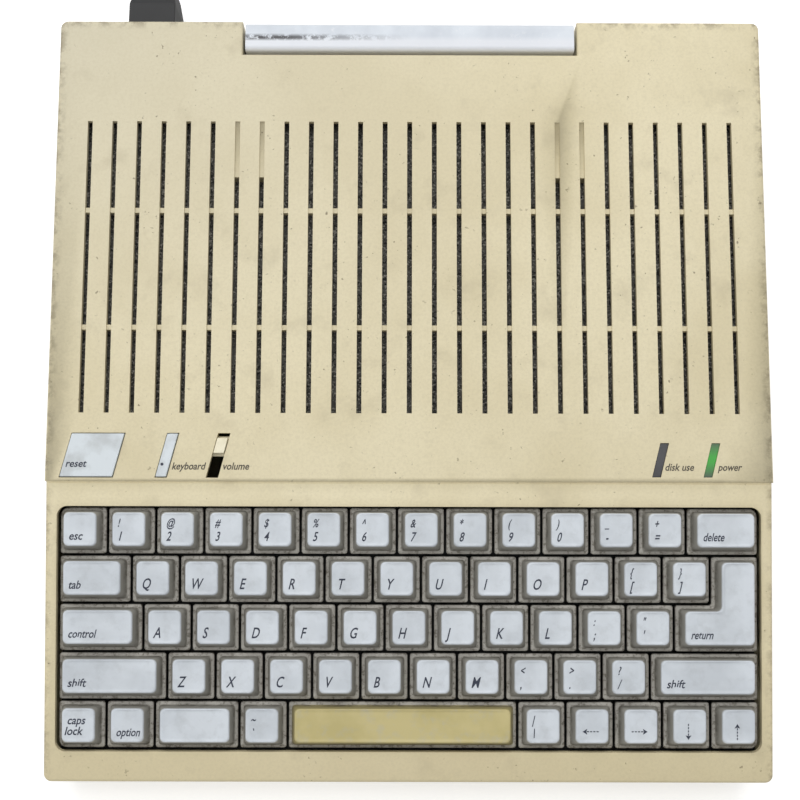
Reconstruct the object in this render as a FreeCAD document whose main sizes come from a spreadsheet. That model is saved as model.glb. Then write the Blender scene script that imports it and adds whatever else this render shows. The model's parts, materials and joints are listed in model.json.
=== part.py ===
import FreeCAD, Part
import Sketcher
import math
import os

# Vintage home computer with a built-in keyboard, millimetres and degrees.
# X runs to the right, Y to the rear and Z up; the origin is under the middle, on the table.

os.makedirs("parts", exist_ok=True)
doc = FreeCAD.newDocument("home_computer")

# Key rows from the rear to the front: each entry is a node name and a width in key units.
# The character keys share one node for each slanting column of the hand.
COLUMNS = [f"column_{n} 1" for n in (1, 2, 3, 4, 5, 6, 7, 8, 9, 10, 11, 11)]
ROW_TEXTS = [
    ["escape 1"] + COLUMNS + ["delete 1.5"],
    ["tab 1.5"] + COLUMNS + ["gap 1"],
    ["control 1.75"] + COLUMNS[:11] + ["return 1.75"],
    ["shift_left 2.25"] + COLUMNS[:10] + ["shift_right 2.25"],
    ["caps_lock 1", "option 1", "command 1.75", "tilde 1", "space_bar 4.75", "backslash 1",
     "arrow_left 1", "arrow_right 1", "arrow_down 1", "arrow_up 1"],
]
KEY_ROWS = [[(text.split()[0], float(text.split()[1])) for text in row] for row in ROW_TEXTS]
ROW_COUNT = len(KEY_ROWS)
ROW_UNITS = sum(units for name, units in KEY_ROWS[0])

# Driving sizes
SIZES = {
    # Keyboard field and key shape
    "key_pitch": 19.05,
    "key_gap": 0.95,
    "key_margin": 0.8,
    "key_ledge_drop": 3.25,
    "key_skirt": 3.05,
    "key_rise": 3.5,
    "key_shoulder": 1.3,
    "key_side_slope": 1.5,
    "key_front_slope": 2.4,
    "key_rear_slope": 0.2,
    "key_corner": 1.6,
    "key_wall": 3.85,
    "key_roof": 1.5,
    "key_travel": 3.0,
    "stem_width": 4.6,
    "stem_depth": 3.2,
    "stem_play": 0.3,
    "stem_hold": 0.3,
    "end_play": 0.2,
    "switch_width": 9.6,
    "switch_depth": 10.0,
    "switch_overlap": 1.4,
    "switch_floor": 0.5,
    "plate_thick": 1.2,
    "plate_overhang": 0.4,
    "rail_thick": 2.0,
    "rail_gap": 2.0,
    "board_thick": 1.6,
    # Case outline
    "side_border": 5.16,
    "rear_band": 9.95,
    "front_band": 11.75,
    "deck_depth": 189.0,
    "deck_slope": 3.0,
    "keyboard_slope": 8.77,
    "side_step": 0.7,
    "wall": 2.5,
    "tray_draft": 8.0,
    "case_corner": 3.0,
    "edge_round": 1.4,
    "opening_corner": 4.0,
    "groove_width": 1.0,
    "groove_depth": 0.6,
    "front_lip": 5.0,
    # Stack from the table up to the deck
    "foot_height": 3.0,
    "foot_radius": 8.0,
    "foot_inset": 22.0,
    "floor_thick": 2.5,
    "board_lift": 2.5,
    "drive_gap": 4.4,
    "drive_height": 25.4,
    "shield_gap": 1.5,
    "shield_thick": 0.8,
    "shield_front_reach": 6.0,
    "shield_rear_reach": 5.0,
    "shield_lip": 5.0,
    "shield_drop": 7.0,
    # Vent slots in the deck
    "slot_pitch": 10.0,
    "slot_width": 2.0,
    "slot_side_margin": 13.0,
    "slot_front_gap": 26.9,
    "slot_rear_gap": 42.8,
    "rib_thick": 2.0,
    "rib_sink": 1.0,
    "rib_height": 3.0,
    "front_rib_inset": 34.5,
    "rear_rib_inset": 36.9,
    # Posts and screws
    "post_x": 65.0,
    "post_rear_gap": 50.0,
    "post_radius": 4.5,
    "post_block": 16.0,
    "block_length": 23.0,
    "front_post_side": 36.0,
    "front_post_back": 5.8,
    "screw_radius": 1.5,
    "screw_head_radius": 2.8,
    "screw_head_height": 2.0,
    "screw_bite": 8.0,
    "screw_play": 0.15,
    "standoff": 6.0,
    "hole_play": 1.0,
    # Handle in its notch at the rear
    "handle_width": 135.2,
    "handle_gap": 1.1,
    "handle_thick": 11.8,
    "handle_height": 12.0,
    "handle_arm": 6.0,
    "handle_inset": 0.4,
    "handle_back_gap": 1.8,
    "handle_drop": 0.8,
    "handle_round": 2.0,
    "pivot_rise": 11.0,
    "pin_radius": 2.5,
    "pin_play": 0.15,
    # Controls and lamps in front of the vents
    "lean": 14.5,
    "control_play": 0.35,
    "control_gap": 1.6,
    "control_length": 17.0,
    "lamp_gap": 1.8,
    "lamp_length": 13.6,
    "reset_side": 18.65,
    "reset_width": 20.7,
    "keyboard_switch_side": 48.1,
    "volume_side": 68.25,
    "control_width": 4.2,
    "disk_lamp_side": 44.45,
    "power_lamp_side": 24.2,
    "lamp_width": 3.5,
    "lamp_recess": 0.3,
    "knob_length": 6.0,
    "knob_start": 1.7,
    "button_rise": 0.8,
    # Boards, power supply and drive inside
    "supply_width": 64.0,
    "supply_height": 31.0,
    "supply_depth": 134.0,
    "supply_side_gap": 5.0,
    "supply_front": 28.0,
    "board_left": -59.5,
    "board_front": 30.0,
    "board_edge_gap": 0.7,
    "chip_width": 14.0,
    "chip_length": 36.0,
    "short_chip_length": 14.4,
    "chip_height": 3.2,
    "chip_pitch": 20.0,
    "drive_length": 150.0,
    "drive_width": 101.6,
    "drive_setback": 28.6,
    "drive_play": 0.4,
    "disk_width": 94.0,
    "disk_gap": 4.6,
    "disk_reach": 90.0,
    "disk_rise": 16.0,
    "slot_relief": 1.2,
    "eject_width": 9.0,
    "eject_height": 3.6,
    "eject_drop": 8.6,
    "eject_reach": 6.0,
    "eject_travel": 2.5,
    "eject_offset": 36.0,
    "speaker_radius": 28.0,
    "speaker_height": 12.0,
    "speaker_rim": 2.4,
    "magnet_radius": 12.6,
    "magnet_height": 6.6,
    "speaker_side": 44.0,
    "speaker_back": 40.0,
    # Sockets along the rear
    "port_height": 12.5,
    "port_depth": 10.0,
    "port_lip": 0.8,
    "port_rim": 2.0,
    "port_recess": 6.0,
    "serial_depth": 8.0,
    "port_play": 0.4,
    "serial_bore": 4.75,
    "serial_left_side": 16.7,
    "serial_right_side": 56.0,
    "disk_port_x": -22.0,
    "disk_port_width": 38.0,
    "jack_x": 12.0,
    "jack_radius": 4.15,
    "jack_reach": 8.0,
    "video_port_side": 23.7,
    "video_port_width": 38.0,
    "game_port_side": 26.0,
    "game_port_width": 30.0,
    # Mains inlet, power switch and cord
    "inlet_side": 34.2,
    "inlet_rise": 28.0,
    "inlet_width": 20.0,
    "inlet_height": 28.0,
    "inlet_depth": 15.0,
    "switch_side": 12.8975,
    "rocker_width": 9.6,
    "rocker_height": 17.0,
    "rocker_angle": 9.0,
    "rocker_play": 0.85,
    "rocker_rise": 1.7,
    "rocker_waist": 0.68,
    "rocker_depth": 3.4,
    "housing_wall": 1.5,
    "connector_length": 26.0,
    "connector_width": 19.5,
    "connector_height": 27.0,
    "grip_length": 15.6,
    "grip_end_width": 16.38,
    "grip_end_height": 16.2,
    "relief_radius": 5.95,
    "relief_end_radius": 4.34,
    "relief_length": 16.0,
    "cord_diameter": 7.0,
    "coil_radius": 42.0,
    "coil_pitch": 8.6,
    "coil_lead_x": -104.0,
    "coil_lead_back": 104.0,
    "lead_out": 30.0,
    "lead_in": 28.0,
    "tail_run": 38.0,
    "tail_side": 12.0,
    "tail_reach": 74.0,
    "plug_shoulder": 12.0,
    "plug_length": 34.0,
    "plug_flat": 1.1,
    "blade_length": 17.0,
    "blade_side": 6.35,
    "blade_rise": 3.0,
    "blade_thick": 1.5,
    "blade_wide": 6.4,
    "earth_pin_drop": 6.0,
    "earth_pin_radius": 2.4,
}

# Places worked out from the driving sizes
PLACES = {
    "key_field": f"sizes.key_pitch * {ROW_UNITS}",
    "row_field": f"sizes.key_pitch * {ROW_COUNT}",
    "opening_width": "key_field - sizes.key_gap + 2 * sizes.key_margin",
    "opening_depth": "row_field - sizes.key_gap + 2 * sizes.key_margin",
    "half_width": "opening_width / 2 + sizes.side_border",
    "keyboard_length": "sizes.rear_band + opening_depth + sizes.front_band",
    "keyboard_depth": "keyboard_length * cos(sizes.keyboard_slope)",
    "rear_y": "(keyboard_depth + sizes.deck_depth) / 2",
    "front_y": "-rear_y",
    "fold_y": "front_y + keyboard_depth",
    "floor_top": "sizes.foot_height + sizes.floor_thick",
    "board_bottom": "floor_top + sizes.board_lift",
    "board_top": "board_bottom + sizes.board_thick",
    "drive_bottom": "board_top + sizes.drive_gap",
    "drive_top": "drive_bottom + sizes.drive_height",
    "shield_bottom": "sizes.shield_drop + sizes.shield_thick",
    "fold_z": ("drive_top + sizes.shield_gap + shield_bottom / cos(sizes.deck_slope)"
               " - sizes.drive_setback * tan(sizes.deck_slope)"),
    "rear_z": "fold_z + sizes.deck_depth * tan(sizes.deck_slope)",
    "front_z": "fold_z - keyboard_length * sin(sizes.keyboard_slope)",
    "seam_z": "front_z - sizes.front_lip",
    "inner_half": "half_width - sizes.wall - sizes.side_step",
    "inner_rear": "rear_y - sizes.wall - sizes.side_step",
    "inner_front": "front_y + sizes.wall",
    "notch_half": "sizes.handle_width / 2 + sizes.handle_gap",
    "handle_y": "rear_y - sizes.handle_inset - sizes.handle_thick / 2",
    "handle_top": "rear_z - sizes.handle_drop",
    "notch_y": "handle_y - sizes.handle_thick / 2 - sizes.handle_back_gap",
    "pivot_z": "sizes.foot_height + sizes.pivot_rise",
    "slot_steps": "floor((half_width - sizes.slot_side_margin) / sizes.slot_pitch)",
    "slot_front": "fold_y + sizes.slot_front_gap",
    "slot_rear": "rear_y - sizes.slot_rear_gap",
    "post_y": "rear_y - sizes.post_rear_gap",
    "front_post_y": "fold_y + sizes.front_post_back",
    "key_floor": "sizes.key_ledge_drop + sizes.key_skirt",
    "switch_top": "key_floor + sizes.key_travel - sizes.switch_overlap",
    "switch_height": "sizes.key_travel + sizes.switch_floor + sizes.end_play + sizes.stem_hold",
    "plate_top": "switch_top + switch_height",
    "stem_bottom": "switch_top + sizes.stem_hold",
    "plate_half": "opening_width / 2 + sizes.plate_overhang",
    "plate_rear": "sizes.rear_band - sizes.rail_gap - sizes.rail_thick",
    "plate_front": "keyboard_length - sizes.front_band + sizes.rail_gap + sizes.rail_thick",
    "drive_right": ("inner_half - (seam_z - drive_bottom) * tan(sizes.tray_draft)"
                    " - sizes.drive_play"),
    "drive_front": "fold_y + sizes.drive_setback",
    "drive_rear": "drive_front + sizes.drive_width",
    "drive_y": "(drive_front + drive_rear) / 2",
    "disk_z": "drive_bottom + sizes.disk_rise",
    "eject_y": "drive_y - sizes.eject_offset",
    "eject_z": "disk_z - sizes.eject_drop",
    "port_z": "board_top + sizes.port_height / 2",
    "supply_left": "sizes.supply_side_gap - inner_half",
    "supply_y": "fold_y + sizes.supply_front",
    "supply_rear": "supply_y + sizes.supply_depth",
    "tray_lean": "(seam_z - board_bottom) * tan(sizes.tray_draft) + sizes.board_edge_gap",
    "board_right": "inner_half - tray_lean",
    "board_front_y": "front_y + sizes.board_front",
    "board_notch_y": "notch_y - sizes.wall - tray_lean",
    "board_rear": "inner_rear - tray_lean",
    "notch_face": "notch_y + sizes.port_lip",
    "rocker_y": "rear_y - 2 * sizes.housing_wall",
    "serial_width": "2 * sizes.serial_bore + 4.5",
    "jack_width": "2 * sizes.jack_radius + 2",
    "housing_width": "sizes.rocker_width + 2 * sizes.housing_wall",
    "housing_height": "sizes.rocker_height + 2 * sizes.housing_wall",
    "connector_end": "rear_y + sizes.connector_length + sizes.relief_length",
    "front_post_x": "half_width - sizes.front_post_side",
    "reset_x": "sizes.reset_side - half_width",
    "keyboard_switch_x": "sizes.keyboard_switch_side - half_width",
    "volume_x": "sizes.volume_side - half_width",
    "disk_lamp_x": "half_width - sizes.disk_lamp_side",
    "power_lamp_x": "half_width - sizes.power_lamp_side",
    "speaker_x": "sizes.speaker_side - half_width",
    "serial_left_x": "sizes.serial_left_side - notch_half",
    "serial_right_x": "half_width - sizes.serial_right_side",
    "video_port_x": "notch_half - sizes.video_port_side",
    "game_port_x": "half_width - sizes.game_port_side",
    "inlet_x": "sizes.inlet_side - half_width",
    "switch_x": "-(notch_half + sizes.switch_side)",
}


def fill_sheet(name, cells, mark=""):
    """Spreadsheet with an alias in column A and its content in column B."""
    sheet = doc.addObject("Spreadsheet::Sheet", name)
    for row, (alias, content) in enumerate(cells.items(), start=1):
        sheet.set(f"A{row}", alias)
        sheet.set(f"B{row}", f"{mark}{content}")
        sheet.setAlias(f"B{row}", alias)
    doc.recompute()
    return sheet


sizes = fill_sheet("sizes", SIZES)
places = fill_sheet("places", PLACES, "=")
nodes = []


def number(text):
    """Value of an expression on the two sheets."""
    return float(sizes.evalExpression(text))


def keep(item, label):
    """Give a finished piece the label that names its file."""
    item.Label = label
    nodes.append(item)
    return item


# Primitive solids and booleans


def move(item, x="0", y="0", z="0"):
    """Tie the place of an item to the sheets."""
    for axis, text in zip("xyz", (x, y, z)):
        item.setExpression(f"Placement.Base.{axis}", text)
    return item


def box(name, corner, extent):
    """Box from its lowest corner, all six numbers as expressions."""
    item = doc.addObject("Part::Box", name)
    for side, text in zip(("Length", "Width", "Height"), extent):
        item.setExpression(side, text)
    return move(item, *corner)


def cylinder(name, base, radius, height, axis="z"):
    """Cylinder that grows from its base centre along an axis."""
    item = doc.addObject("Part::Cylinder", name)
    item.setExpression("Radius", radius)
    item.setExpression("Height", height)
    turns = {"x": (FreeCAD.Vector(0, 1, 0), 90), "y": (FreeCAD.Vector(1, 0, 0), -90)}
    if axis in turns:
        item.Placement = FreeCAD.Placement(FreeCAD.Vector(), FreeCAD.Rotation(*turns[axis]))
    return move(item, *base)


def join(name, items):
    """One solid from several that touch."""
    item = doc.addObject("Part::MultiFuse", name)
    item.Shapes = items
    return item


def cut(name, base, tools):
    """Base solid less one or more tools."""
    item = doc.addObject("Part::Cut", name)
    item.Base = base
    item.Tool = tools[0] if len(tools) == 1 else join(f"{name}_tools", tools)
    return item


def group(name, items):
    """Several separate solids in one node."""
    item = doc.addObject("Part::Compound", name)
    item.Links = items
    return item


# Bodies made from sketches


def new_body(name):
    return doc.addObject("PartDesign::Body", name)


def outline(body, name, *loops, plane="XY_Plane", lift="0", slope=None):
    """Sketch of closed outlines; with a slope it lies on the deck or keyboard surface at the fold.

    A loop is a list of (x, y) expressions, or (x, y, radius) for a circle.
    """
    sketch = body.newObject("Sketcher::SketchObject", name)
    support = [item for item in body.Origin.OriginFeatures if item.Role == plane]
    sketch.AttachmentSupport = [(support[0], "")]
    sketch.MapMode = "FlatFace"
    if slope:
        tilt = FreeCAD.Rotation(FreeCAD.Vector(1, 0, 0), 1)
        sketch.AttachmentOffset = FreeCAD.Placement(FreeCAD.Vector(), tilt)
        sketch.setExpression("AttachmentOffset.Rotation.Angle", slope)
        sketch.setExpression("AttachmentOffset.Base.y", f"places.fold_y - ({lift}) * sin({slope})")
        sketch.setExpression("AttachmentOffset.Base.z", f"places.fold_z + ({lift}) * cos({slope})")
    else:
        sketch.setExpression("AttachmentOffset.Base.z", lift)
    for loop in loops:
        if isinstance(loop, tuple):
            draw_circle(sketch, *loop)
        else:
            draw_polygon(sketch, loop)
    return sketch


def pin_point(sketch, geometry, point, x, y):
    """Tie a sketch point to two expressions, measured from the sketch origin."""
    for kind, text in (("DistanceX", x), ("DistanceY", y)):
        index = sketch.addConstraint(
            Sketcher.Constraint(kind, -1, 1, geometry, point, number(text)))
        sketch.setExpression(f"Constraints[{index}]", text)


def draw_polygon(sketch, points):
    first = sketch.GeometryCount
    count = len(points)
    corners = [FreeCAD.Vector(number(x), number(y), 0) for x, y in points]
    for index in range(count):
        line = Part.LineSegment(corners[index], corners[(index + 1) % count])
        sketch.addGeometry(line, False)
    for index in range(count):
        following = first + (index + 1) % count
        sketch.addConstraint(Sketcher.Constraint("Coincident", first + index, 2, following, 1))
    for index, (x, y) in enumerate(points):
        pin_point(sketch, first + index, 1, x, y)


def draw_circle(sketch, x, y, radius):
    centre = FreeCAD.Vector(number(x), number(y), 0)
    circle = Part.Circle(centre, FreeCAD.Vector(0, 0, 1), number(radius))
    geometry = sketch.addGeometry(circle, False)
    pin_point(sketch, geometry, 3, x, y)
    index = sketch.addConstraint(Sketcher.Constraint("Radius", geometry, number(radius)))
    sketch.setExpression(f"Constraints[{index}]", radius)


def extrude(body, kind, name, profile, length, taper=None, reverse=False, middle=False):
    """Pad or Pocket of a sketch."""
    feature = body.newObject(f"PartDesign::{kind}", name)
    feature.Profile = profile
    feature.setExpression("Length", length)
    feature.Reversed = reverse
    if middle:
        feature.SideType = "Symmetric"
    if taper:
        feature.setExpression("TaperAngle", taper)
    return feature


def pad(body, name, profile, length, **options):
    return extrude(body, "Pad", name, profile, length, **options)


def pocket(body, name, profile, length, **options):
    return extrude(body, "Pocket", name, profile, length, **options)


def round_edges(body, name, base, radius, test):
    """Fillet on the edges of a feature that pass a test."""
    doc.recompute()
    chosen = [f"Edge{n}" for n, edge in enumerate(base.Shape.Edges, start=1) if test(edge)]
    feature = body.newObject("PartDesign::Fillet", name)
    feature.Base = (base, chosen)
    feature.setExpression("Radius", radius)
    return feature


def mirror(body, name, features, role="YZ_Plane"):
    """Mirror features across an origin plane."""
    doc.recompute()
    feature = body.newObject("PartDesign::Mirrored", name)
    feature.Originals = features
    support = [item for item in body.Origin.OriginFeatures if item.Role == role]
    feature.MirrorPlane = (support[0], [""])
    body.Tip = feature
    return feature


def row_of(body, name, features, sketch, length, count):
    """Linear pattern along the X axis of a sketch."""
    doc.recompute()
    feature = body.newObject("PartDesign::LinearPattern", name)
    feature.Originals = features
    feature.Direction = (sketch, ["H_Axis"])
    feature.setExpression("Length", length)
    feature.setExpression("Occurrences", count)
    body.Tip = feature
    return feature


def rectangle(x0, x1, y0, y1):
    return [(x0, y0), (x1, y0), (x1, y1), (x0, y1)]


def centred(x, y, width, depth):
    return rectangle(f"{x} - ({width}) / 2", f"{x} + ({width}) / 2",
                     f"{y} - ({depth}) / 2", f"{y} + ({depth}) / 2")


# Sloped surfaces: the deck behind the fold and the keyboard in front of it


def level(y, slope, depth):
    """Height of a sloped surface at y, lowered by a depth square to it."""
    angle = f"sizes.{slope}"
    return f"places.fold_z + (({y}) - places.fold_y) * tan({angle}) - ({depth}) / cos({angle})"


def on_keys(along, depth):
    """Side-view point at a distance in front of the fold and a depth under the keyboard surface."""
    angle = "sizes.keyboard_slope"
    y = f"places.fold_y - ({along}) * cos({angle}) + ({depth}) * sin({angle})"
    z = f"places.fold_z - ({along}) * sin({angle}) - ({depth}) * cos({angle})"
    return (y, z)


def keys_rectangle(along0, along1, depth0, depth1):
    return [on_keys(along0, depth0), on_keys(along1, depth0),
            on_keys(along1, depth1), on_keys(along0, depth1)]


def leaning(x, start, length, width, play="0"):
    """Leaning four-sided outline on the deck, widened by a play on every side."""
    half = f"(({width}) / 2 + ({play}))"
    near = f"({start}) - ({play})"
    far = f"({start}) + ({length}) + ({play})"
    swing = f"(({length}) / 2 + ({play})) * tan(sizes.lean)"
    return [(f"{x} - {half} - {swing}", near), (f"{x} + {half} - {swing}", near),
            (f"{x} + {half} + {swing}", far), (f"{x} - {half} + {swing}", far)]


CONTROLS = [
    ("reset", "places.reset_x", "sizes.reset_width", "sizes.control_gap", "sizes.control_length"),
    ("keyboard", "places.keyboard_switch_x", "sizes.control_width", "sizes.control_gap",
     "sizes.control_length"),
    ("volume", "places.volume_x", "sizes.control_width", "sizes.control_gap",
     "sizes.control_length"),
    ("disk", "places.disk_lamp_x", "sizes.lamp_width", "sizes.lamp_gap", "sizes.lamp_length"),
    ("power", "places.power_lamp_x", "sizes.lamp_width", "sizes.lamp_gap", "sizes.lamp_length"),
]


LAMPS = {"disk": "disk_use_lens", "power": "power_lens"}
BUTTONS = {"reset": "reset_button", "keyboard": "keyboard_switch", "volume": "volume_knob"}


def case_outline():
    """Plan of the case at the seam, with the keyboard part a little narrower than the deck part."""
    half = "places.half_width"
    narrow = "(places.half_width - sizes.side_step)"
    return [(f"-{narrow}", "places.front_y"), (narrow, "places.front_y"),
            (narrow, "places.fold_y"), (half, "places.fold_y"),
            (half, "places.rear_y"), (f"-{half}", "places.rear_y"),
            (f"-{half}", "places.fold_y"), (f"-{narrow}", "places.fold_y")]


def inner_outline():
    """Plan of the space inside the case, which goes round the handle's notch."""
    side = "(places.notch_half + sizes.wall)"
    step = "places.notch_y - sizes.wall"
    return [("-places.inner_half", "places.inner_front"), ("places.inner_half", "places.inner_front"),
            ("places.inner_half", "places.inner_rear"), (side, "places.inner_rear"),
            (side, step), (f"-{side}", step),
            (f"-{side}", "places.inner_rear"), ("-places.inner_half", "places.inner_rear")]


def is_upright(edge):
    """True for a straight edge that is steeper than 45 degrees."""
    start, end = edge.Vertexes[0].Point, edge.Vertexes[-1].Point
    return abs(end.z - start.z) > 0.7 * edge.Length


def at_outer_corner(edge):
    """True near one of the four outer corners of the case."""
    middle = edge.CenterOfMass
    return (abs(middle.x) > number("places.inner_half - sizes.wall")
            and abs(middle.y) > number("places.rear_y - 2 * sizes.wall"))


# Case


def make_top_case():
    body = new_body("top_case_body")
    add_keyboard_block(body)
    add_deck_block(body)
    cavity = outline(body, "cavity_profile", [
        ("places.inner_front", "places.seam_z - 1"),
        ("places.inner_front", level("places.inner_front", "keyboard_slope", "sizes.wall")),
        ("places.fold_y", level("places.fold_y", "keyboard_slope", "sizes.wall")),
        ("places.notch_y - sizes.wall", level("places.notch_y", "deck_slope", "sizes.wall")),
        ("places.notch_y - sizes.wall", "places.seam_z - 1")], plane="YZ_Plane")
    pocket(body, "cavity", cavity, "2 * places.inner_half", middle=True)
    side = "places.notch_half + sizes.wall"
    reach = "places.notch_y - sizes.wall - 1"
    pods = outline(body, "rear_pods",
                   rectangle(side, "places.inner_half", reach, "places.inner_rear"),
                   rectangle("-places.inner_half", f"-({side})", reach, "places.inner_rear"),
                   lift="places.seam_z")
    roof_height = level("places.notch_y", "deck_slope", "sizes.wall")
    pocket(body, "rear_pod_space", pods, f"{roof_height} - places.seam_z", reverse=True)
    add_groove(body)
    add_vents(body)
    add_post_blocks(body)
    add_keyboard_opening(body)
    add_control_windows(body)
    add_top_wall_holes(body)
    return keep(body, "top_case")


def add_keyboard_block(body):
    """Front part of the top case under the sloping keyboard surface, with its rim rounded."""
    narrow = "(places.half_width - sizes.side_step)"
    plan = outline(body, "front_plan", rectangle(
        f"-{narrow}", narrow, "places.front_y", "places.fold_y"), lift="places.seam_z")
    block = pad(body, "front_block", plan, "places.fold_z - places.seam_z")
    round_edges(body, "front_corners", block, "sizes.case_corner",
                lambda edge: is_upright(edge) and edge.CenterOfMass.y < number("places.front_y + 1"))
    ahead = "(places.front_y - 10)"
    air = outline(body, "front_air", [
        (ahead, level(ahead, "keyboard_slope", "0")), ("places.fold_y", "places.fold_z"),
        ("places.fold_y", "places.fold_z + 10"), (ahead, "places.fold_z + 10")], plane="YZ_Plane")
    roof = pocket(body, "front_roof", air, "4 * places.half_width", middle=True)
    round_edges(body, "front_rim", roof, "sizes.edge_round",
                lambda edge: on_rim(edge) and edge.CenterOfMass.y < number("places.fold_y - 1"))


def add_deck_block(body):
    """Rear part under the deck, with the notch for the handle and its rim rounded."""
    plan = outline(body, "deck_plan", rectangle(
        "-places.half_width", "places.half_width", "places.fold_y", "places.rear_y"),
        lift="places.seam_z")
    block = pad(body, "deck_block", plan, "places.rear_z - places.seam_z")
    round_edges(body, "rear_corners", block, "sizes.case_corner",
                lambda edge: is_upright(edge) and edge.CenterOfMass.y > number("places.rear_y - 1"))
    behind = "(places.rear_y + 10)"
    air = outline(body, "deck_air", [
        ("places.fold_y", "places.fold_z"), (behind, level(behind, "deck_slope", "0")),
        (behind, "places.rear_z + 10"), ("places.fold_y", "places.rear_z + 10")],
        plane="YZ_Plane")
    pocket(body, "deck_roof", air, "4 * places.half_width", middle=True)
    plan = outline(body, "top_notch_plan", rectangle(
        "-places.notch_half", "places.notch_half", "places.notch_y", behind), lift="places.seam_z")
    gap = pocket(body, "top_notch", plan, "places.rear_z", reverse=True)
    round_edges(body, "deck_rim", gap, "sizes.edge_round",
                lambda edge: on_rim(edge) and edge.CenterOfMass.y > number("places.fold_y + 1"))


def on_rim(edge):
    """True for a longer edge between a roof slope and a wall."""
    low = number("places.front_z - 1")
    return edge.CenterOfMass.z > low and not is_upright(edge) and edge.Length > 1


def add_groove(body):
    """Shallow groove along the fold between the deck and the keyboard part."""
    cut_line = outline(body, "groove_profile", keys_rectangle(
        "0", "sizes.groove_width", "-1", "sizes.groove_depth"), plane="YZ_Plane")
    pocket(body, "groove", cut_line, "2 * places.half_width + 2", middle=True)


def add_vents(body):
    """Row of vent slots, with two sunk ribs that cross them under the surface."""
    first = outline(body, "vent_outline", centred(
        "-(places.slot_steps * sizes.slot_pitch)", "(places.slot_front + places.slot_rear) / 2",
        "sizes.slot_width", "places.slot_rear - places.slot_front"), lift="places.rear_z")
    slot = pocket(body, "vent", first, "places.rear_z - places.fold_z + 2 * sizes.wall")
    row_of(body, "vents", [slot], first, "2 * places.slot_steps * sizes.slot_pitch",
           "2 * places.slot_steps + 1")
    span = "2 * places.slot_steps * sizes.slot_pitch + 3 * sizes.slot_width"
    ribs = (("front", "places.slot_front + sizes.front_rib_inset"),
            ("rear", "places.slot_rear - sizes.rear_rib_inset"))
    for name, y in ribs:
        near, far = f"{y} - sizes.rib_thick / 2", f"{y} + sizes.rib_thick / 2"
        low = "sizes.rib_sink + sizes.rib_height"
        profile = outline(body, f"{name}_rib_profile", [
            (near, level(near, "deck_slope", low)), (far, level(far, "deck_slope", low)),
            (far, level(far, "deck_slope", "sizes.rib_sink")),
            (near, level(near, "deck_slope", "sizes.rib_sink"))], plane="YZ_Plane")
        pad(body, f"{name}_rib", profile, span, middle=True)


def add_post_blocks(body):
    """Four screw posts; the rear pair hangs from blocks that close the slots above them."""
    near, far = "places.slot_rear - sizes.block_length", "places.slot_rear + 1"
    block = outline(body, "block_profile", [
        (near, level(near, "deck_slope", "sizes.shield_drop")),
        (far, level(far, "deck_slope", "sizes.shield_drop")),
        (far, level(far, "deck_slope", "sizes.rib_sink")),
        (near, level(near, "deck_slope", "sizes.rib_sink"))],
        plane="YZ_Plane", lift="sizes.post_x - sizes.post_block / 2")
    right = pad(body, "block", block, "sizes.post_block")
    mirror(body, "blocks", [right])
    rear = ("sizes.post_x", "places.post_y", "sizes.post_radius")
    front = ("places.front_post_x", "places.front_post_y", "sizes.post_radius")
    for name, (x, y, radius), top in (
            ("rear", rear, level("places.post_y", "deck_slope", "sizes.shield_drop - 1")),
            ("front", front, level("places.front_post_y", "deck_slope", "sizes.wall / 2"))):
        circles = outline(body, f"{name}_post_circles", (x, y, radius), (f"-({x})", y, radius),
                          lift="places.seam_z")
        pad(body, f"{name}_posts", circles, f"{top} - places.seam_z")
        bore = "sizes.screw_radius + sizes.screw_play"
        holes = outline(body, f"{name}_post_bores", (x, y, bore), (f"-({x})", y, bore),
                        lift="places.seam_z")
        pocket(body, f"{name}_bores", holes, "sizes.screw_bite + 1", reverse=True)


def add_keyboard_opening(body):
    """Opening for the keys and the two rails that the keyboard plate hangs from."""
    half = "places.opening_width / 2"
    opening = outline(body, "opening_outline", rectangle(
        f"-{half}", half, "-(sizes.rear_band + places.opening_depth)", "-sizes.rear_band"),
        slope="sizes.keyboard_slope", lift="sizes.wall")
    hole = pocket(body, "opening", opening, "3 * sizes.wall")

    def in_opening_corner(edge):
        middle = edge.CenterOfMass
        return (is_upright(edge) and edge.Length < number("2 * sizes.wall")
                and abs(abs(middle.x) - number(half)) < 0.2
                and middle.y < number("places.fold_y - sizes.rear_band / 2"))

    round_edges(body, "opening_corners", hole, "sizes.opening_corner", in_opening_corner)
    rails = (("rear", "places.plate_rear"), ("front", "places.plate_front - sizes.rail_thick"))
    for name, start in rails:
        profile = outline(body, f"{name}_rail_profile", keys_rectangle(
            start, f"{start} + sizes.rail_thick", "sizes.wall / 2", "places.plate_top"),
            plane="YZ_Plane")
        pad(body, f"{name}_rail", profile, "2 * places.plate_half", middle=True)


def add_control_windows(body):
    """Leaning windows for the buttons, the slide knob and the lamps."""
    loops = [leaning(x, start, length, width, "0" if name in LAMPS else "sizes.control_play")
             for name, x, width, start, length in CONTROLS]
    windows = outline(body, "window_outlines", *loops, slope="sizes.deck_slope", lift="1")
    pocket(body, "windows", windows, "sizes.wall + 2")


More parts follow.
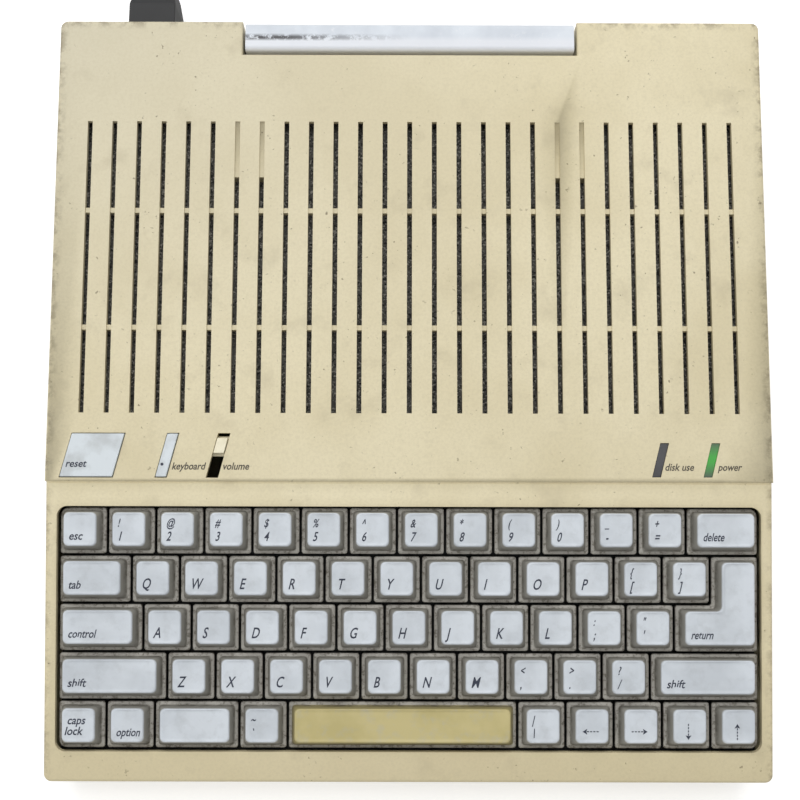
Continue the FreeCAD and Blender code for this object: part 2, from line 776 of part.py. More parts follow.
def add_top_wall_holes(body):
    """Disk slot and button hole in the right wall, inlet and power switch holes in the rear."""
    half_disk = "(sizes.disk_width / 2 + sizes.slot_relief)"
    half_slot = "(sizes.disk_gap / 2 + sizes.slot_relief)"
    right = outline(body, "right_wall_holes", rectangle(
        f"places.drive_y - {half_disk}", f"places.drive_y + {half_disk}",
        f"places.disk_z - {half_slot}", f"places.disk_z + {half_slot}"),
        plane="YZ_Plane", lift="places.inner_half - 1")
    pocket(body, "disk_hole", right, "sizes.wall + 5", reverse=True)
    rear = outline(body, "rear_wall_holes", *rear_wall_holes(),
                   plane="XZ_Plane", lift="-(places.inner_rear - 1)")
    pocket(body, "rear_holes", rear, "sizes.wall + 5")


def rear_wall_holes():
    """Outlines of the inlet hole and the power switch hole, seen from the front."""
    play = "2 * sizes.port_play"
    return [centred("places.inlet_x", "sizes.inlet_rise",
                    f"sizes.inlet_width + {play}", f"sizes.inlet_height + {play}"),
            centred("places.switch_x", "sizes.inlet_rise",
                    f"places.housing_width + {play}", f"places.housing_height + {play}")]


def make_bottom_case():
    body = new_body("bottom_case_body")
    shell = outline(body, "tray_outline", case_outline(), lift="places.seam_z")
    block = pad(body, "tray_block", shell, "places.seam_z - sizes.foot_height",
                taper="-sizes.tray_draft", reverse=True)
    round_edges(body, "tray_corners", block, "sizes.case_corner",
                lambda edge: is_upright(edge) and at_outer_corner(edge))
    notch = outline(body, "tray_notch_outline", rectangle(
        "-places.notch_half", "places.notch_half", "places.notch_y", "places.rear_y + 10"),
        lift="places.seam_z")
    pocket(body, "tray_notch", notch, "places.seam_z")
    space = outline(body, "tray_space_outline", inner_outline(), lift="places.seam_z")
    pocket(body, "tray_space", space, "places.seam_z - places.floor_top",
           taper="-sizes.tray_draft")
    add_tray_posts(body)
    add_tray_holes(body)
    return keep(body, "bottom_case")


def board_posts():
    """Places of the square posts under the main board, near its corners."""
    inset = "(2 * sizes.standoff)"
    left, right = f"sizes.board_left + {inset}", f"places.board_right - {inset}"
    near, far = f"places.board_front_y + {inset}", f"places.board_notch_y - {inset}"
    return [(left, near), (right, near), (left, far), (right, far)]


def drive_posts():
    """Places of the square posts that pass through the board and carry the disk drive."""
    inset = "(1.5 * sizes.standoff)"
    left = f"places.drive_right - sizes.drive_length + {inset}"
    right = f"places.drive_right - {inset}"
    near, far = f"places.drive_front + {inset}", f"places.drive_rear - {inset}"
    return [(left, near), (right, near), (left, far), (right, far)]


def screw_places():
    return [("sizes.post_x", "places.post_y"), ("-sizes.post_x", "places.post_y"),
            ("places.front_post_x", "places.front_post_y"),
            ("-places.front_post_x", "places.front_post_y")]


def add_tray_posts(body):
    """Bosses for the screws and square posts for the board and the drive."""
    low = outline(body, "board_post_outlines", *[
        centred(x, y, "sizes.standoff", "sizes.standoff") for x, y in board_posts()],
        lift="places.floor_top - 0.5")
    pad(body, "board_posts", low, "places.board_bottom - places.floor_top + 0.5")
    high = outline(body, "drive_post_outlines", *[
        centred(x, y, "sizes.standoff", "sizes.standoff") for x, y in drive_posts()],
        lift="places.floor_top - 0.5")
    pad(body, "drive_posts", high, "places.drive_bottom - places.floor_top + 0.5")
    bosses = outline(body, "boss_circles", *[
        (x, y, "sizes.post_radius") for x, y in screw_places()], lift="places.floor_top - 0.5")
    pad(body, "bosses", bosses, "places.seam_z - places.floor_top + 0.5")
    bore = "sizes.screw_radius + sizes.screw_play"
    bores = outline(body, "boss_bore_circles", *[(x, y, bore) for x, y in screw_places()])
    pocket(body, "boss_bores", bores, "places.seam_z + 1", reverse=True)
    head = "sizes.screw_head_radius + sizes.screw_play"
    heads = outline(body, "head_circles", *[(x, y, head) for x, y in screw_places()])
    pocket(body, "head_recesses", heads, "sizes.foot_height + sizes.screw_head_height",
           reverse=True)


def notch_ports():
    """Name, place and width of each socket in the handle's notch."""
    return [("serial_left", "places.serial_left_x", "places.serial_width"),
            ("disk_socket", "sizes.disk_port_x", "sizes.disk_port_width"),
            ("video_jack", "sizes.jack_x", "places.jack_width"),
            ("video_socket", "places.video_port_x", "sizes.video_port_width")]


def side_ports():
    """Name, place and width of each socket to the right of the notch."""
    return [("serial_right", "places.serial_right_x", "places.serial_width"),
            ("game_socket", "places.game_port_x", "sizes.game_port_width")]


def add_tray_holes(body):
    """Holes in the walls for the sockets, the inlet, the switch and the handle pins."""
    play = "2 * sizes.port_play"
    in_notch = [centred(x, "places.port_z", f"{width} + {play}", f"sizes.port_height + {play}")
                for name, x, width in notch_ports()]
    near = outline(body, "notch_port_holes", *in_notch, plane="XZ_Plane",
                   lift="-(places.notch_y - 3 * sizes.wall)")
    pocket(body, "notch_holes", near, "3 * sizes.wall + 1")
    in_rear = [centred(x, "places.port_z", f"{width} + {play}", f"sizes.port_height + {play}")
               for name, x, width in side_ports()]
    far = outline(body, "rear_port_holes", *in_rear, *rear_wall_holes(), plane="XZ_Plane",
                  lift="-(places.inner_rear - 2 * sizes.wall)")
    pocket(body, "rear_port_space", far, "3 * sizes.wall + 5")
    button = outline(body, "eject_notch_plan", rectangle(
        "places.eject_y - sizes.eject_width / 2 - sizes.port_play",
        "places.eject_y + sizes.eject_width / 2 + sizes.port_play",
        "places.eject_z - sizes.eject_height / 2 - sizes.port_play", "places.seam_z + 1"),
        plane="YZ_Plane", lift="places.inner_half - 2 * sizes.wall")
    pocket(body, "eject_notch", button, "4 * sizes.wall", reverse=True)
    pins = outline(body, "pin_hole_circle",
                   ("places.handle_y", "places.pivot_z", "sizes.pin_radius"), plane="YZ_Plane")
    pocket(body, "pin_holes", pins, "2 * (places.notch_half + 4 * sizes.wall)", middle=True)


def make_case_fittings():
    """Rubber feet under the tray and the screws that hold the two case halves."""
    feet = []
    side = "(places.half_width - sizes.foot_inset)"
    end = "(places.rear_y - sizes.foot_inset)"
    for x in (f"-{side}", side):
        for y in (f"-{end}", end):
            feet.append(cylinder("foot", (x, y, "0"), "sizes.foot_radius", "sizes.foot_height"))
    keep(group("feet", feet), "rubber_feet")
    screws = []
    for x, y in screw_places():
        head_top = "(sizes.foot_height + sizes.screw_head_height)"
        head = cylinder("screw_head", (x, y, "sizes.foot_height"),
                        "sizes.screw_head_radius", "sizes.screw_head_height")
        shank = cylinder("screw_shank", (x, y, head_top), "sizes.screw_radius",
                         f"places.seam_z + sizes.screw_bite - {head_top}")
        screws.append(join("screw", [head, shank]))
    keep(group("screws", screws), "case_screws")


# Handle


def make_handle():
    """U-shaped handle on two pins, standing in its notch with its bar at deck height."""
    half = "(sizes.handle_width / 2)"
    inner = f"({half} - sizes.handle_arm)"
    low = "(places.pivot_z - sizes.handle_thick / 2 + 0.4)"
    bar = "(places.handle_top - sizes.handle_height)"
    body = new_body("handle_body")
    shape = outline(body, "handle_outline", [
        (f"-{half}", low), (f"-{inner}", low), (f"-{inner}", bar), (inner, bar),
        (inner, low), (half, low), (half, "places.handle_top"), (f"-{half}", "places.handle_top")],
        plane="XZ_Plane", lift="-(places.handle_y + sizes.handle_thick / 2)")
    frame = pad(body, "handle_frame", shape, "sizes.handle_thick")
    round_edges(body, "handle_ends", frame, "sizes.handle_thick / 2 - 0.5",
                lambda edge: edge.CenterOfMass.z < number(low) + 0.1
                and abs(edge.Vertexes[0].Point.x - edge.Vertexes[-1].Point.x) > 1)
    doc.recompute()
    tip = body.Tip
    round_edges(body, "handle_bar", tip, "sizes.handle_round",
                lambda edge: edge.Length > number("sizes.handle_width - 1")
                and edge.CenterOfMass.z > number("places.handle_top - 1"))
    bore = outline(body, "handle_bore_circle",
                   ("places.handle_y", "places.pivot_z", "sizes.pin_radius + sizes.pin_play"),
                   plane="YZ_Plane")
    pocket(body, "handle_bore", bore, "sizes.handle_width + 2", middle=True)
    keep(body, "carry_handle")
    reach = "sizes.handle_arm + sizes.handle_gap + sizes.wall"
    start = f"({half} - sizes.handle_arm)"
    pins = [cylinder("pin", (x, "places.handle_y", "places.pivot_z"), "sizes.pin_radius", reach, "x")
            for x in (start, f"-({start} + {reach})")]
    keep(group("pins", pins), "handle_pins")


# Keyboard


def key_rectangle(units, inset, front="0", rear="0"):
    """Plan of a keycap about its centre, drawn in by an inset and by extra at front and rear."""
    half = f"((sizes.key_pitch * {units} - sizes.key_gap) / 2 - ({inset}))"
    deep = f"((sizes.key_pitch - sizes.key_gap) / 2 - ({inset}))"
    return rectangle(f"-{half}", half, f"-({deep} - ({front}))", f"({deep} - ({rear}))")


def return_outline(units, inset, front="0", rear="0"):
    """Plan of the return key, which reaches one row up along its right side."""
    side = f"((sizes.key_pitch * {units} - sizes.key_gap) / 2 - ({inset}))"
    full = f"(sizes.key_pitch * {units} - sizes.key_gap) / 2"
    low = f"-((sizes.key_pitch - sizes.key_gap) / 2 - ({inset}) - ({front}))"
    step = f"((sizes.key_pitch - sizes.key_gap) / 2 - ({inset}) - ({rear}))"
    high = f"({step} + sizes.key_pitch)"
    inner = f"({full} - sizes.key_pitch + sizes.key_gap + ({inset}))"
    return [(f"-{side}", low), (side, low), (side, high), (inner, high), (inner, step),
            (f"-{side}", step)]


def crown_of_key(body, name, units):
    """Tapered top of a plain keycap: its side view drawn across, then its slanted ends cut."""
    side = f"((sizes.key_pitch * {units} - sizes.key_gap) / 2 - sizes.key_shoulder)"
    deep = "((sizes.key_pitch - sizes.key_gap) / 2 - sizes.key_shoulder)"
    low, high = "-sizes.key_ledge_drop", "sizes.key_rise"
    profile = outline(body, f"{name}_side_view", [
        (f"-{deep}", low), (deep, low), (f"{deep} - sizes.key_rear_slope", high),
        (f"-({deep} - sizes.key_front_slope)", high)], plane="YZ_Plane")
    pad(body, f"{name}_crown", profile, f"2 * {side}", middle=True)
    slope = "sizes.key_side_slope"
    above, beyond = f"({high} + 1)", f"({side} + 1)"
    ends = outline(body, f"{name}_ends", [
        (f"-{side}", low), (f"-{side} + {slope}", high), (f"-{side} + {slope}", above),
        (f"-{beyond}", above), (f"-{beyond}", low)], [
        (side, low), (beyond, low), (beyond, above), (f"{side} - {slope}", above),
        (f"{side} - {slope}", high)], plane="XZ_Plane")
    return pocket(body, f"{name}_ends_cut", ends, "2 * sizes.key_pitch", middle=True)


def crown_of_return(body, name, units):
    """Tapered top of the return key, lofted because its plan has a step."""
    ledge = outline(body, f"{name}_ledge", return_outline(units, "sizes.key_shoulder"),
                    lift="-sizes.key_ledge_drop")
    narrow = "sizes.key_shoulder + sizes.key_side_slope"
    front = "sizes.key_front_slope - sizes.key_side_slope"
    rear = "sizes.key_rear_slope - sizes.key_side_slope"
    top = outline(body, f"{name}_top", return_outline(units, narrow, front, rear),
                  lift="sizes.key_rise")
    loft = body.newObject("PartDesign::AdditiveLoft", f"{name}_loft")
    loft.Profile = ledge
    loft.Sections = [top]
    loft.Ruled = True
    return loft


def make_keycap(name, units, plan=key_rectangle):
    """Keycap about its own centre, on the keyboard surface: skirt, tapered top, hollow and stem."""
    body = new_body(name)
    skirt = outline(body, f"{name}_skirt", plan(units, "0"), lift="-places.key_floor")
    pad(body, f"{name}_base", skirt, "sizes.key_skirt")
    crown = crown_of_return if plan is return_outline else crown_of_key
    top = crown(body, name, units)
    doc.recompute()
    low = number("-sizes.key_ledge_drop")
    corners = [f"Edge{n}" for n, edge in enumerate(top.Shape.Edges, start=1)
               if is_upright(edge) and edge.CenterOfMass.z > low]
    bevel = body.newObject("PartDesign::Chamfer", f"{name}_corners")
    bevel.Base = (top, corners)
    bevel.setExpression("Size", "sizes.key_corner")
    ceiling = "sizes.key_rise - sizes.key_roof"
    hollow = outline(body, f"{name}_hollow", plan(units, "sizes.key_wall"),
                     lift="-places.key_floor")
    pocket(body, f"{name}_space", hollow, f"places.key_floor + {ceiling}", reverse=True)
    foot = outline(body, f"{name}_stem_plan", centred("0", "0", "sizes.stem_width",
                                                      "sizes.stem_depth"),
                   lift="-places.stem_bottom")
    pad(body, f"{name}_stem", foot, f"places.stem_bottom + {ceiling}")
    return body


def make_switch():
    """Housing of one key switch, with the well that its key's stem moves in."""
    body = new_body("switch_body")
    plan = outline(body, "switch_plan", centred("0", "0", "sizes.switch_width",
                                                "sizes.switch_depth"), lift="-places.plate_top")
    pad(body, "switch_block", plan, "places.switch_height")
    well = outline(body, "switch_well", centred(
        "0", "0", "sizes.stem_width + 2 * sizes.stem_play",
        "sizes.stem_depth + 2 * sizes.stem_play"), lift="-places.switch_top")
    pocket(body, "switch_hole", well, "places.switch_height - sizes.switch_floor")
    return body


def seat(item, left_units, units, row):
    """Copy of a keyboard piece at its place in the rows, square to the keyboard surface."""
    copy = group("seated", [item])
    tilt = FreeCAD.Rotation(FreeCAD.Vector(1, 0, 0), 1)
    copy.Placement = FreeCAD.Placement(FreeCAD.Vector(), tilt)
    copy.setExpression("Placement.Rotation.Angle", "sizes.keyboard_slope")
    along = (f"sizes.rear_band + sizes.key_margin - sizes.key_gap / 2"
             f" + {row + 0.5} * sizes.key_pitch")
    y, z = on_keys(along, "0")
    return move(copy, f"{left_units + units / 2} * sizes.key_pitch - places.key_field / 2", y, z)


def make_keys():
    """All keycaps and their switch housings, row by row."""
    switch = make_switch()
    caps = {}
    housings = []
    by_node = {}
    for row, keys in enumerate(KEY_ROWS):
        left = 0.0
        for name, units in keys:
            if name != "gap":
                shape = "return" if name == "return" else units
                if shape not in caps:
                    label = f"cap_{str(shape).replace('.', '_')}"
                    plan = return_outline if name == "return" else key_rectangle
                    caps[shape] = make_keycap(label, units, plan)
                by_node.setdefault(name, []).append(seat(caps[shape], left, units, row))
                housings.append(seat(switch, left, units, row))
            left += units
    for name, items in by_node.items():
        keep(group(f"{name}_keys", items), f"key_{name}")
    keep(group("housings", housings), "key_switches")


def make_keyboard_frame():
    """Steel plate under the switches, on the rails of the top case, and the board below it."""
    body = new_body("plate_body")
    plan = outline(body, "plate_plan", rectangle(
        "-places.plate_half", "places.plate_half", "-places.plate_front", "-places.plate_rear"),
        slope="sizes.keyboard_slope", lift="-places.plate_top")
    pad(body, "plate", plan, "sizes.plate_thick", reverse=True)
    keep(body, "keyboard_plate")
    body = new_body("key_board_body")
    inset = "sizes.rail_thick"
    plan = outline(body, "key_board_plan", rectangle(
        f"-(places.plate_half - {inset})", f"places.plate_half - {inset}",
        f"-(places.plate_front - {inset})", f"-(places.plate_rear + {inset})"),
        slope="sizes.keyboard_slope", lift="-(places.plate_top + sizes.plate_thick)")
    pad(body, "key_board", plan, "sizes.board_thick", reverse=True)
    keep(body, "keyboard_board")


# Boards, power supply, drive and loudspeaker


def make_main_board():
    """Main board with its rows of chips and the holes that the posts pass through."""
    body = new_body("board_body")
    side = "places.notch_half + sizes.wall + places.tray_lean"
    shape = [("sizes.board_left", "places.board_front_y"),
             ("places.board_right", "places.board_front_y"),
             ("places.board_right", "places.board_rear"), (side, "places.board_rear"),
             (side, "places.board_notch_y"), ("sizes.board_left", "places.board_notch_y")]
    hole = "sizes.standoff + 2 * sizes.hole_play"
    round_hole = "sizes.post_radius + sizes.hole_play"
    holes = [centred(x, y, hole, hole) for x, y in drive_posts()]
    holes += [("sizes.post_x", "places.post_y", round_hole),
              ("places.front_post_x", "places.front_post_y", round_hole)]
    plan = outline(body, "board_plan", shape, *holes, lift="places.board_bottom")
    pad(body, "board", plan, "sizes.board_thick")
    first = "sizes.board_left + sizes.chip_pitch"
    for name, y in (("front", "places.board_front_y + sizes.chip_pitch"),
                    ("rear", "places.board_front_y + 2.2 * sizes.chip_pitch")):
        chip = outline(body, f"{name}_chip_plan", centred(
            first, f"({y})", "sizes.chip_width", "sizes.short_chip_length"),
            lift="places.board_top")
        chip_pad = pad(body, f"{name}_chip", chip, "sizes.chip_height")
        row_of(body, f"{name}_chips", [chip_pad], chip, "7 * sizes.chip_pitch", "8")
    keep(body, "main_board")


def make_board_shield():
    """Metal sheet under the vents that follows the deck, with a lip along its front edge."""
    body = new_body("shield_body")
    near = "(places.slot_front - sizes.shield_front_reach)"
    far = "(places.slot_rear + sizes.shield_rear_reach)"
    lip = f"{near} + sizes.shield_thick"
    under = "places.shield_bottom"
    lip_end = f"{level(near, 'deck_slope', under)} - sizes.shield_lip"
    profile = outline(body, "shield_profile", [
        (near, lip_end), (lip, lip_end),
        (lip, level(lip, "deck_slope", under)), (far, level(far, "deck_slope", under)),
        (far, level(far, "deck_slope", "sizes.shield_drop")),
        (near, level(near, "deck_slope", "sizes.shield_drop"))], plane="YZ_Plane")
    pad(body, "shield", profile, "2 * (places.inner_half - sizes.supply_side_gap)", middle=True)
    hole = "sizes.post_radius + sizes.hole_play"
    holes = outline(body, "shield_holes", ("sizes.post_x", "places.post_y", hole),
                    ("-sizes.post_x", "places.post_y", hole), lift="places.rear_z")
    pocket(body, "shield_openings", holes, "places.rear_z - places.seam_z")
    keep(body, "board_shield")


def make_power_supply():
    """Closed supply can on the tray floor, its upright corners rounded."""
    body = new_body("supply_body")
    right = "places.supply_left + sizes.supply_width"
    plan = outline(body, "supply_plan", rectangle(
        "places.supply_left", right, "places.supply_y", "places.supply_rear"),
        lift="places.floor_top")
    can = pad(body, "supply_can", plan, "sizes.supply_height")
    round_edges(body, "supply_corners", can, "sizes.wall", is_upright)
    keep(body, "power_supply")


def make_disk_drive():
    """Drive that takes its disk from the right, with a hole for the eject button."""
    body = new_body("drive_body")
    plan = outline(body, "drive_plan", rectangle(
        "places.drive_right - sizes.drive_length", "places.drive_right",
        "places.drive_front", "places.drive_rear"), lift="places.drive_bottom")
    pad(body, "drive", plan, "sizes.drive_height")
    mouth = outline(body, "disk_mouth", centred(
        "places.drive_y", "places.disk_z", "sizes.disk_width", "sizes.disk_gap"),
        plane="YZ_Plane", lift="places.drive_right")
    pocket(body, "disk_space", mouth, "sizes.disk_reach")
    hole = outline(body, "eject_hole_plan", centred(
        "places.eject_y", "places.eject_z", "sizes.eject_width + 2 * sizes.port_play",
        "sizes.eject_height + 2 * sizes.port_play"), plane="YZ_Plane", lift="places.drive_right")
    pocket(body, "eject_hole", hole, "sizes.eject_reach + sizes.eject_travel + 1")
    keep(body, "disk_drive")
    button = box("eject", ("places.drive_right - sizes.eject_reach",
                           "places.eject_y - sizes.eject_width / 2",
                           "places.eject_z - sizes.eject_height / 2"),
                 ("places.half_width - places.drive_right + sizes.eject_reach",
                  "sizes.eject_width", "sizes.eject_height"))
    keep(button, "eject_button")


def make_loudspeaker():
    """Round loudspeaker on the tray floor: magnet, basket and rim in one turned shape."""
    body = new_body("speaker_body")
    radius, height = "sizes.speaker_radius", "sizes.speaker_height"
    profile = outline(body, "speaker_profile", [
        ("0", "0"), ("sizes.magnet_radius", "0"), ("sizes.magnet_radius", "sizes.magnet_height"),
        (radius, f"{height} - sizes.speaker_rim"), (radius, height), ("0", height)],
        plane="XZ_Plane")
    turned = body.newObject("PartDesign::Revolution", "speaker")
    turned.Profile = profile
    turned.ReferenceAxis = (profile, ["V_Axis"])
    turned.Angle = 360
    move(body, "places.speaker_x", "places.fold_y - sizes.speaker_back", "places.floor_top")
    keep(body, "loudspeaker")


# Sockets at the rear


def socket_block(name, x, face, width):
    """Socket body that stands on the board and reaches through the wall to its face."""
    depth = "(sizes.port_depth + 2 * sizes.wall)"
    return box(f"{name}_block", (f"{x} - ({width}) / 2", f"{face} - {depth}", "places.board_top"),
               (width, depth, "sizes.port_height"))


def make_serial_sockets():
    sockets = []
    faces = (("places.serial_left_x", "places.notch_face"), ("places.serial_right_x", "places.rear_y"))
    for x, face in faces:
        block = socket_block("serial", x, face, "places.serial_width")
        bore = cylinder("serial_bore", (x, f"{face} - sizes.serial_depth", "places.port_z"),
                        "sizes.serial_bore", "sizes.serial_depth + 1", "y")
        sockets.append(cut("serial_socket", block, [bore]))
    keep(group("serial_pair", sockets), "serial_sockets")


def make_wide_socket(label, x, face, width):
    """Flat socket with slanted ends: a recess with a tongue of the same outline inside."""
    body = new_body(f"{label}_body")
    block = outline(body, f"{label}_plan", centred(x, "places.port_z", width, "sizes.port_height"),
                    plane="XZ_Plane", lift=f"-({face})")
    pad(body, f"{label}_block", block, "sizes.port_depth + 2 * sizes.wall")

    def slanted(rim):
        half, high = f"(({width}) / 2 - {rim})", f"(sizes.port_height / 2 - {rim})"
        lean = "sizes.port_height / 6"
        return [(f"{x} - {half} + {lean}", f"places.port_z - {high}"),
                (f"{x} + {half} - {lean}", f"places.port_z - {high}"),
                (f"{x} + {half}", f"places.port_z + {high}"),
                (f"{x} - {half}", f"places.port_z + {high}")]

    recess = outline(body, f"{label}_recess_plan", slanted("sizes.port_rim"),
                     slanted("2 * sizes.port_rim"), plane="XZ_Plane", lift=f"-({face})")
    pocket(body, f"{label}_recess", recess, "sizes.port_recess", reverse=True)
    keep(body, label)


def make_video_jack():
    """Round jack with a free-standing sleeve round its centre hole."""
    block = socket_block("jack", "sizes.jack_x", "places.notch_face", "places.jack_width")
    sleeve = cylinder("jack_sleeve", ("sizes.jack_x", "places.notch_face", "places.port_z"),
                      "sizes.jack_radius", "sizes.jack_reach", "y")
    hole = cylinder("jack_hole", ("sizes.jack_x", "places.notch_face", "places.port_z"),
                    "sizes.jack_radius * 0.4", "sizes.jack_reach + 1", "y")
    keep(cut("jack", join("jack_solid", [block, sleeve]), [hole]), "video_jack")


# Mains inlet, power switch and cord


def make_inlet_and_switch():
    """Mains inlet on the supply, and the rocker switch beside it."""
    body = new_body("inlet_body")
    plan = outline(body, "inlet_plan", centred(
        "places.inlet_x", "sizes.inlet_rise", "sizes.inlet_width", "sizes.inlet_height"),
        plane="XZ_Plane", lift="-places.supply_rear")
    pad(body, "inlet_block", plan, "places.rear_y - places.supply_rear", reverse=True)
    wall = "2 * sizes.housing_wall"
    recess = outline(body, "inlet_recess_plan", centred(
        "places.inlet_x", "sizes.inlet_rise", f"sizes.inlet_width - {wall}",
        f"sizes.inlet_height - {wall}"), plane="XZ_Plane", lift="-places.rear_y")
    pocket(body, "inlet_recess", recess, "sizes.inlet_depth", reverse=True)
    keep(body, "power_inlet")
    body = new_body("housing_body")
    plan = outline(body, "housing_plan", centred(
        "places.switch_x", "sizes.inlet_rise", "places.housing_width", "places.housing_height"),
        plane="XZ_Plane", lift="-places.rear_y")
    pad(body, "housing_block", plan, "sizes.port_depth + sizes.wall")
    window = outline(body, "housing_window_plan", centred(
        "places.switch_x", "sizes.inlet_rise", "sizes.rocker_width", "sizes.rocker_height"),
        plane="XZ_Plane", lift="-places.rear_y")
    pocket(body, "housing_window", window, "sizes.port_depth", reverse=True)
    keep(body, "switch_housing")
    make_rocker()


def make_rocker():
    """Rocker about its own pivot, tipped to its off side."""
    body = new_body("rocker_body")
    half = "(sizes.rocker_height / 2 - sizes.rocker_play)"
    profile = outline(body, "rocker_profile", [
        ("-sizes.rocker_depth", f"-{half}"), ("sizes.rocker_rise", f"-{half}"),
        ("sizes.rocker_waist", "0"), ("sizes.rocker_rise", half),
        ("-sizes.rocker_depth", half)], plane="YZ_Plane")
    pad(body, "rocker", profile, "sizes.rocker_width - 2 * sizes.stem_play", middle=True)
    tilt = FreeCAD.Rotation(FreeCAD.Vector(1, 0, 0), 1)
    body.Placement = FreeCAD.Placement(FreeCAD.Vector(), tilt)
    body.setExpression("Placement.Rotation.Angle", "sizes.rocker_angle")
    move(body, "places.switch_x", "places.rocker_y", "sizes.inlet_rise")
    keep(body, "power_rocker")


# Lamps, buttons and the slide knob on the deck


def leaning_prism(body, name, plan, top, bottom):
    """Prism square to the deck between two depths, given as depths under the surface."""
    face = outline(body, f"{name}_plan", plan, slope="sizes.deck_slope", lift=f"-({top})")
    return pad(body, name, face, f"({bottom}) - ({top})", reverse=True)


def make_deck_controls():
    for name, x, width, start, length in CONTROLS:
        body = new_body(f"{name}_body")
        if name in LAMPS:
            plan = leaning(x, start, length, width)
            leaning_prism(body, f"{name}_window", plan, "sizes.lamp_recess", "sizes.wall + 1")
            keep(body, LAMPS[name])
            continue
        if name == "volume":
            middle = "(sizes.control_length / 2 - sizes.knob_start - sizes.knob_length / 2)"
            x = f"{x} + {middle} * tan(sizes.lean)"
            start = f"{start} + {length} - sizes.knob_start - sizes.knob_length"
            length = "sizes.knob_length"
        plan = leaning(x, start, length, width)
        leaning_prism(body, f"{name}_cap", plan, "-sizes.button_rise", "sizes.wall + 1")
        flange = leaning(x, start, length, width, "1")
        leaning_prism(body, f"{name}_flange", flange, "sizes.wall + sizes.control_play",
                      "sizes.wall + sizes.control_play + 1.2")
        keep(body, BUTTONS[name])


# Mains cord: moulded connector, free lead, coil of the spare length and plug


def arc_middle(start, direction, end):
    """Middle point of the arc from start to end that leaves start along a direction."""
    chord = end - start
    along = FreeCAD.Vector(chord).normalize()
    turn = direction.getAngle(chord)
    side = direction - along * direction.dot(along)
    side.normalize()
    return start + chord * 0.5 + side * (chord.Length / 2 * math.tan(turn / 2))


def biarc(start, leave, end, arrive):
    """Two tangent arcs from start to end with given directions at both ends."""
    chord = end - start
    total = leave + arrive
    square = 2 * (1 - leave.dot(arrive))
    linear = chord.dot(total)
    if square < 1e-9:
        reach = chord.dot(chord) / (4 * chord.dot(arrive))
    else:
        root = math.sqrt(linear * linear + square * chord.dot(chord))
        reach = (root - linear) / square
    joint = (start + end) * 0.5 + (leave - arrive) * (reach / 2)
    first = Part.Arc(start, arc_middle(start, leave, joint), joint)
    second = Part.Arc(joint, arc_middle(end, arrive * -1, joint), end)
    return [first.toShape(), second.toShape()]


def rounded_route(points):
    """Straight runs joined by tangent arcs, each as large as its shorter run allows."""
    edges = []
    here = points[0]
    for before, corner, after in zip(points, points[1:], points[2:]):
        arrive, leave = (corner - before), (after - corner)
        turn = arrive.getAngle(leave)
        cut_back = 0.45 * min(arrive.Length, leave.Length)
        radius = cut_back / math.tan(turn / 2)
        print(f"cord radius {radius:.1f} mm at a turn of {math.degrees(turn):.0f} degrees")
        start = corner - arrive.normalize() * cut_back
        end = corner + leave.normalize() * cut_back
        edges.append(Part.LineSegment(here, start).toShape())
        edges.append(Part.Arc(start, arc_middle(start, arrive, end), end).toShape())
        here = end
    edges.append(Part.LineSegment(here, points[-1]).toShape())
    return edges


def tube(edges, radius):
    """Solid with six flat sides along a route that starts along +Y, flat side down."""
    start = edges[0].Vertexes[0].Point
    reach = radius / math.cos(math.pi / TUBE_SIDES)
    angles = [index * 2 * math.pi / TUBE_SIDES for index in range(TUBE_SIDES + 1)]
    ring = [start + FreeCAD.Vector(math.cos(angle), 0, math.sin(angle)) * reach for angle in angles]
    return Part.Wire(edges).makePipeShell([Part.makePolygon(ring)], True, False)


def coil_point(turns):
    """Point and direction on the coil after a number of turns, seen from above anticlockwise.

    The cord spirals in on the table, climbs one layer in the half turn where it
    reverses, and spirals out again on top of the first layer.
    """
    radius, pitch = number("sizes.coil_radius"), number("sizes.coil_pitch")
    outer = radius + pitch * COIL_TURNS / 2
    inner = outer - pitch * COIL_TURNS
    low = number("sizes.cord_diameter") / 2
    angle = 2 * math.pi * turns
    if turns <= COIL_TURNS:
        reach, growth, height = outer - pitch * turns, -pitch, low
    elif turns < COIL_TURNS + 0.5:
        reach, growth, height = inner, 0, low + pitch * (2 * (turns - COIL_TURNS))
    else:
        reach, growth, height = inner + pitch * (turns - COIL_TURNS - 0.5), pitch, low + pitch
    centre = FreeCAD.Vector(number("sizes.coil_lead_x") - outer,
                            number("places.connector_end + sizes.coil_lead_back"), height)
    outward = FreeCAD.Vector(math.cos(angle), math.sin(angle), 0)
    forward = FreeCAD.Vector(-math.sin(angle), math.cos(angle), 0)
    direction = forward * (2 * math.pi * reach) + outward * growth
    if turns in (0, 2 * COIL_TURNS):
        direction = forward
    return centre + outward * reach, direction.normalize()


COIL_TURNS = 3
TUBE_SIDES = 6


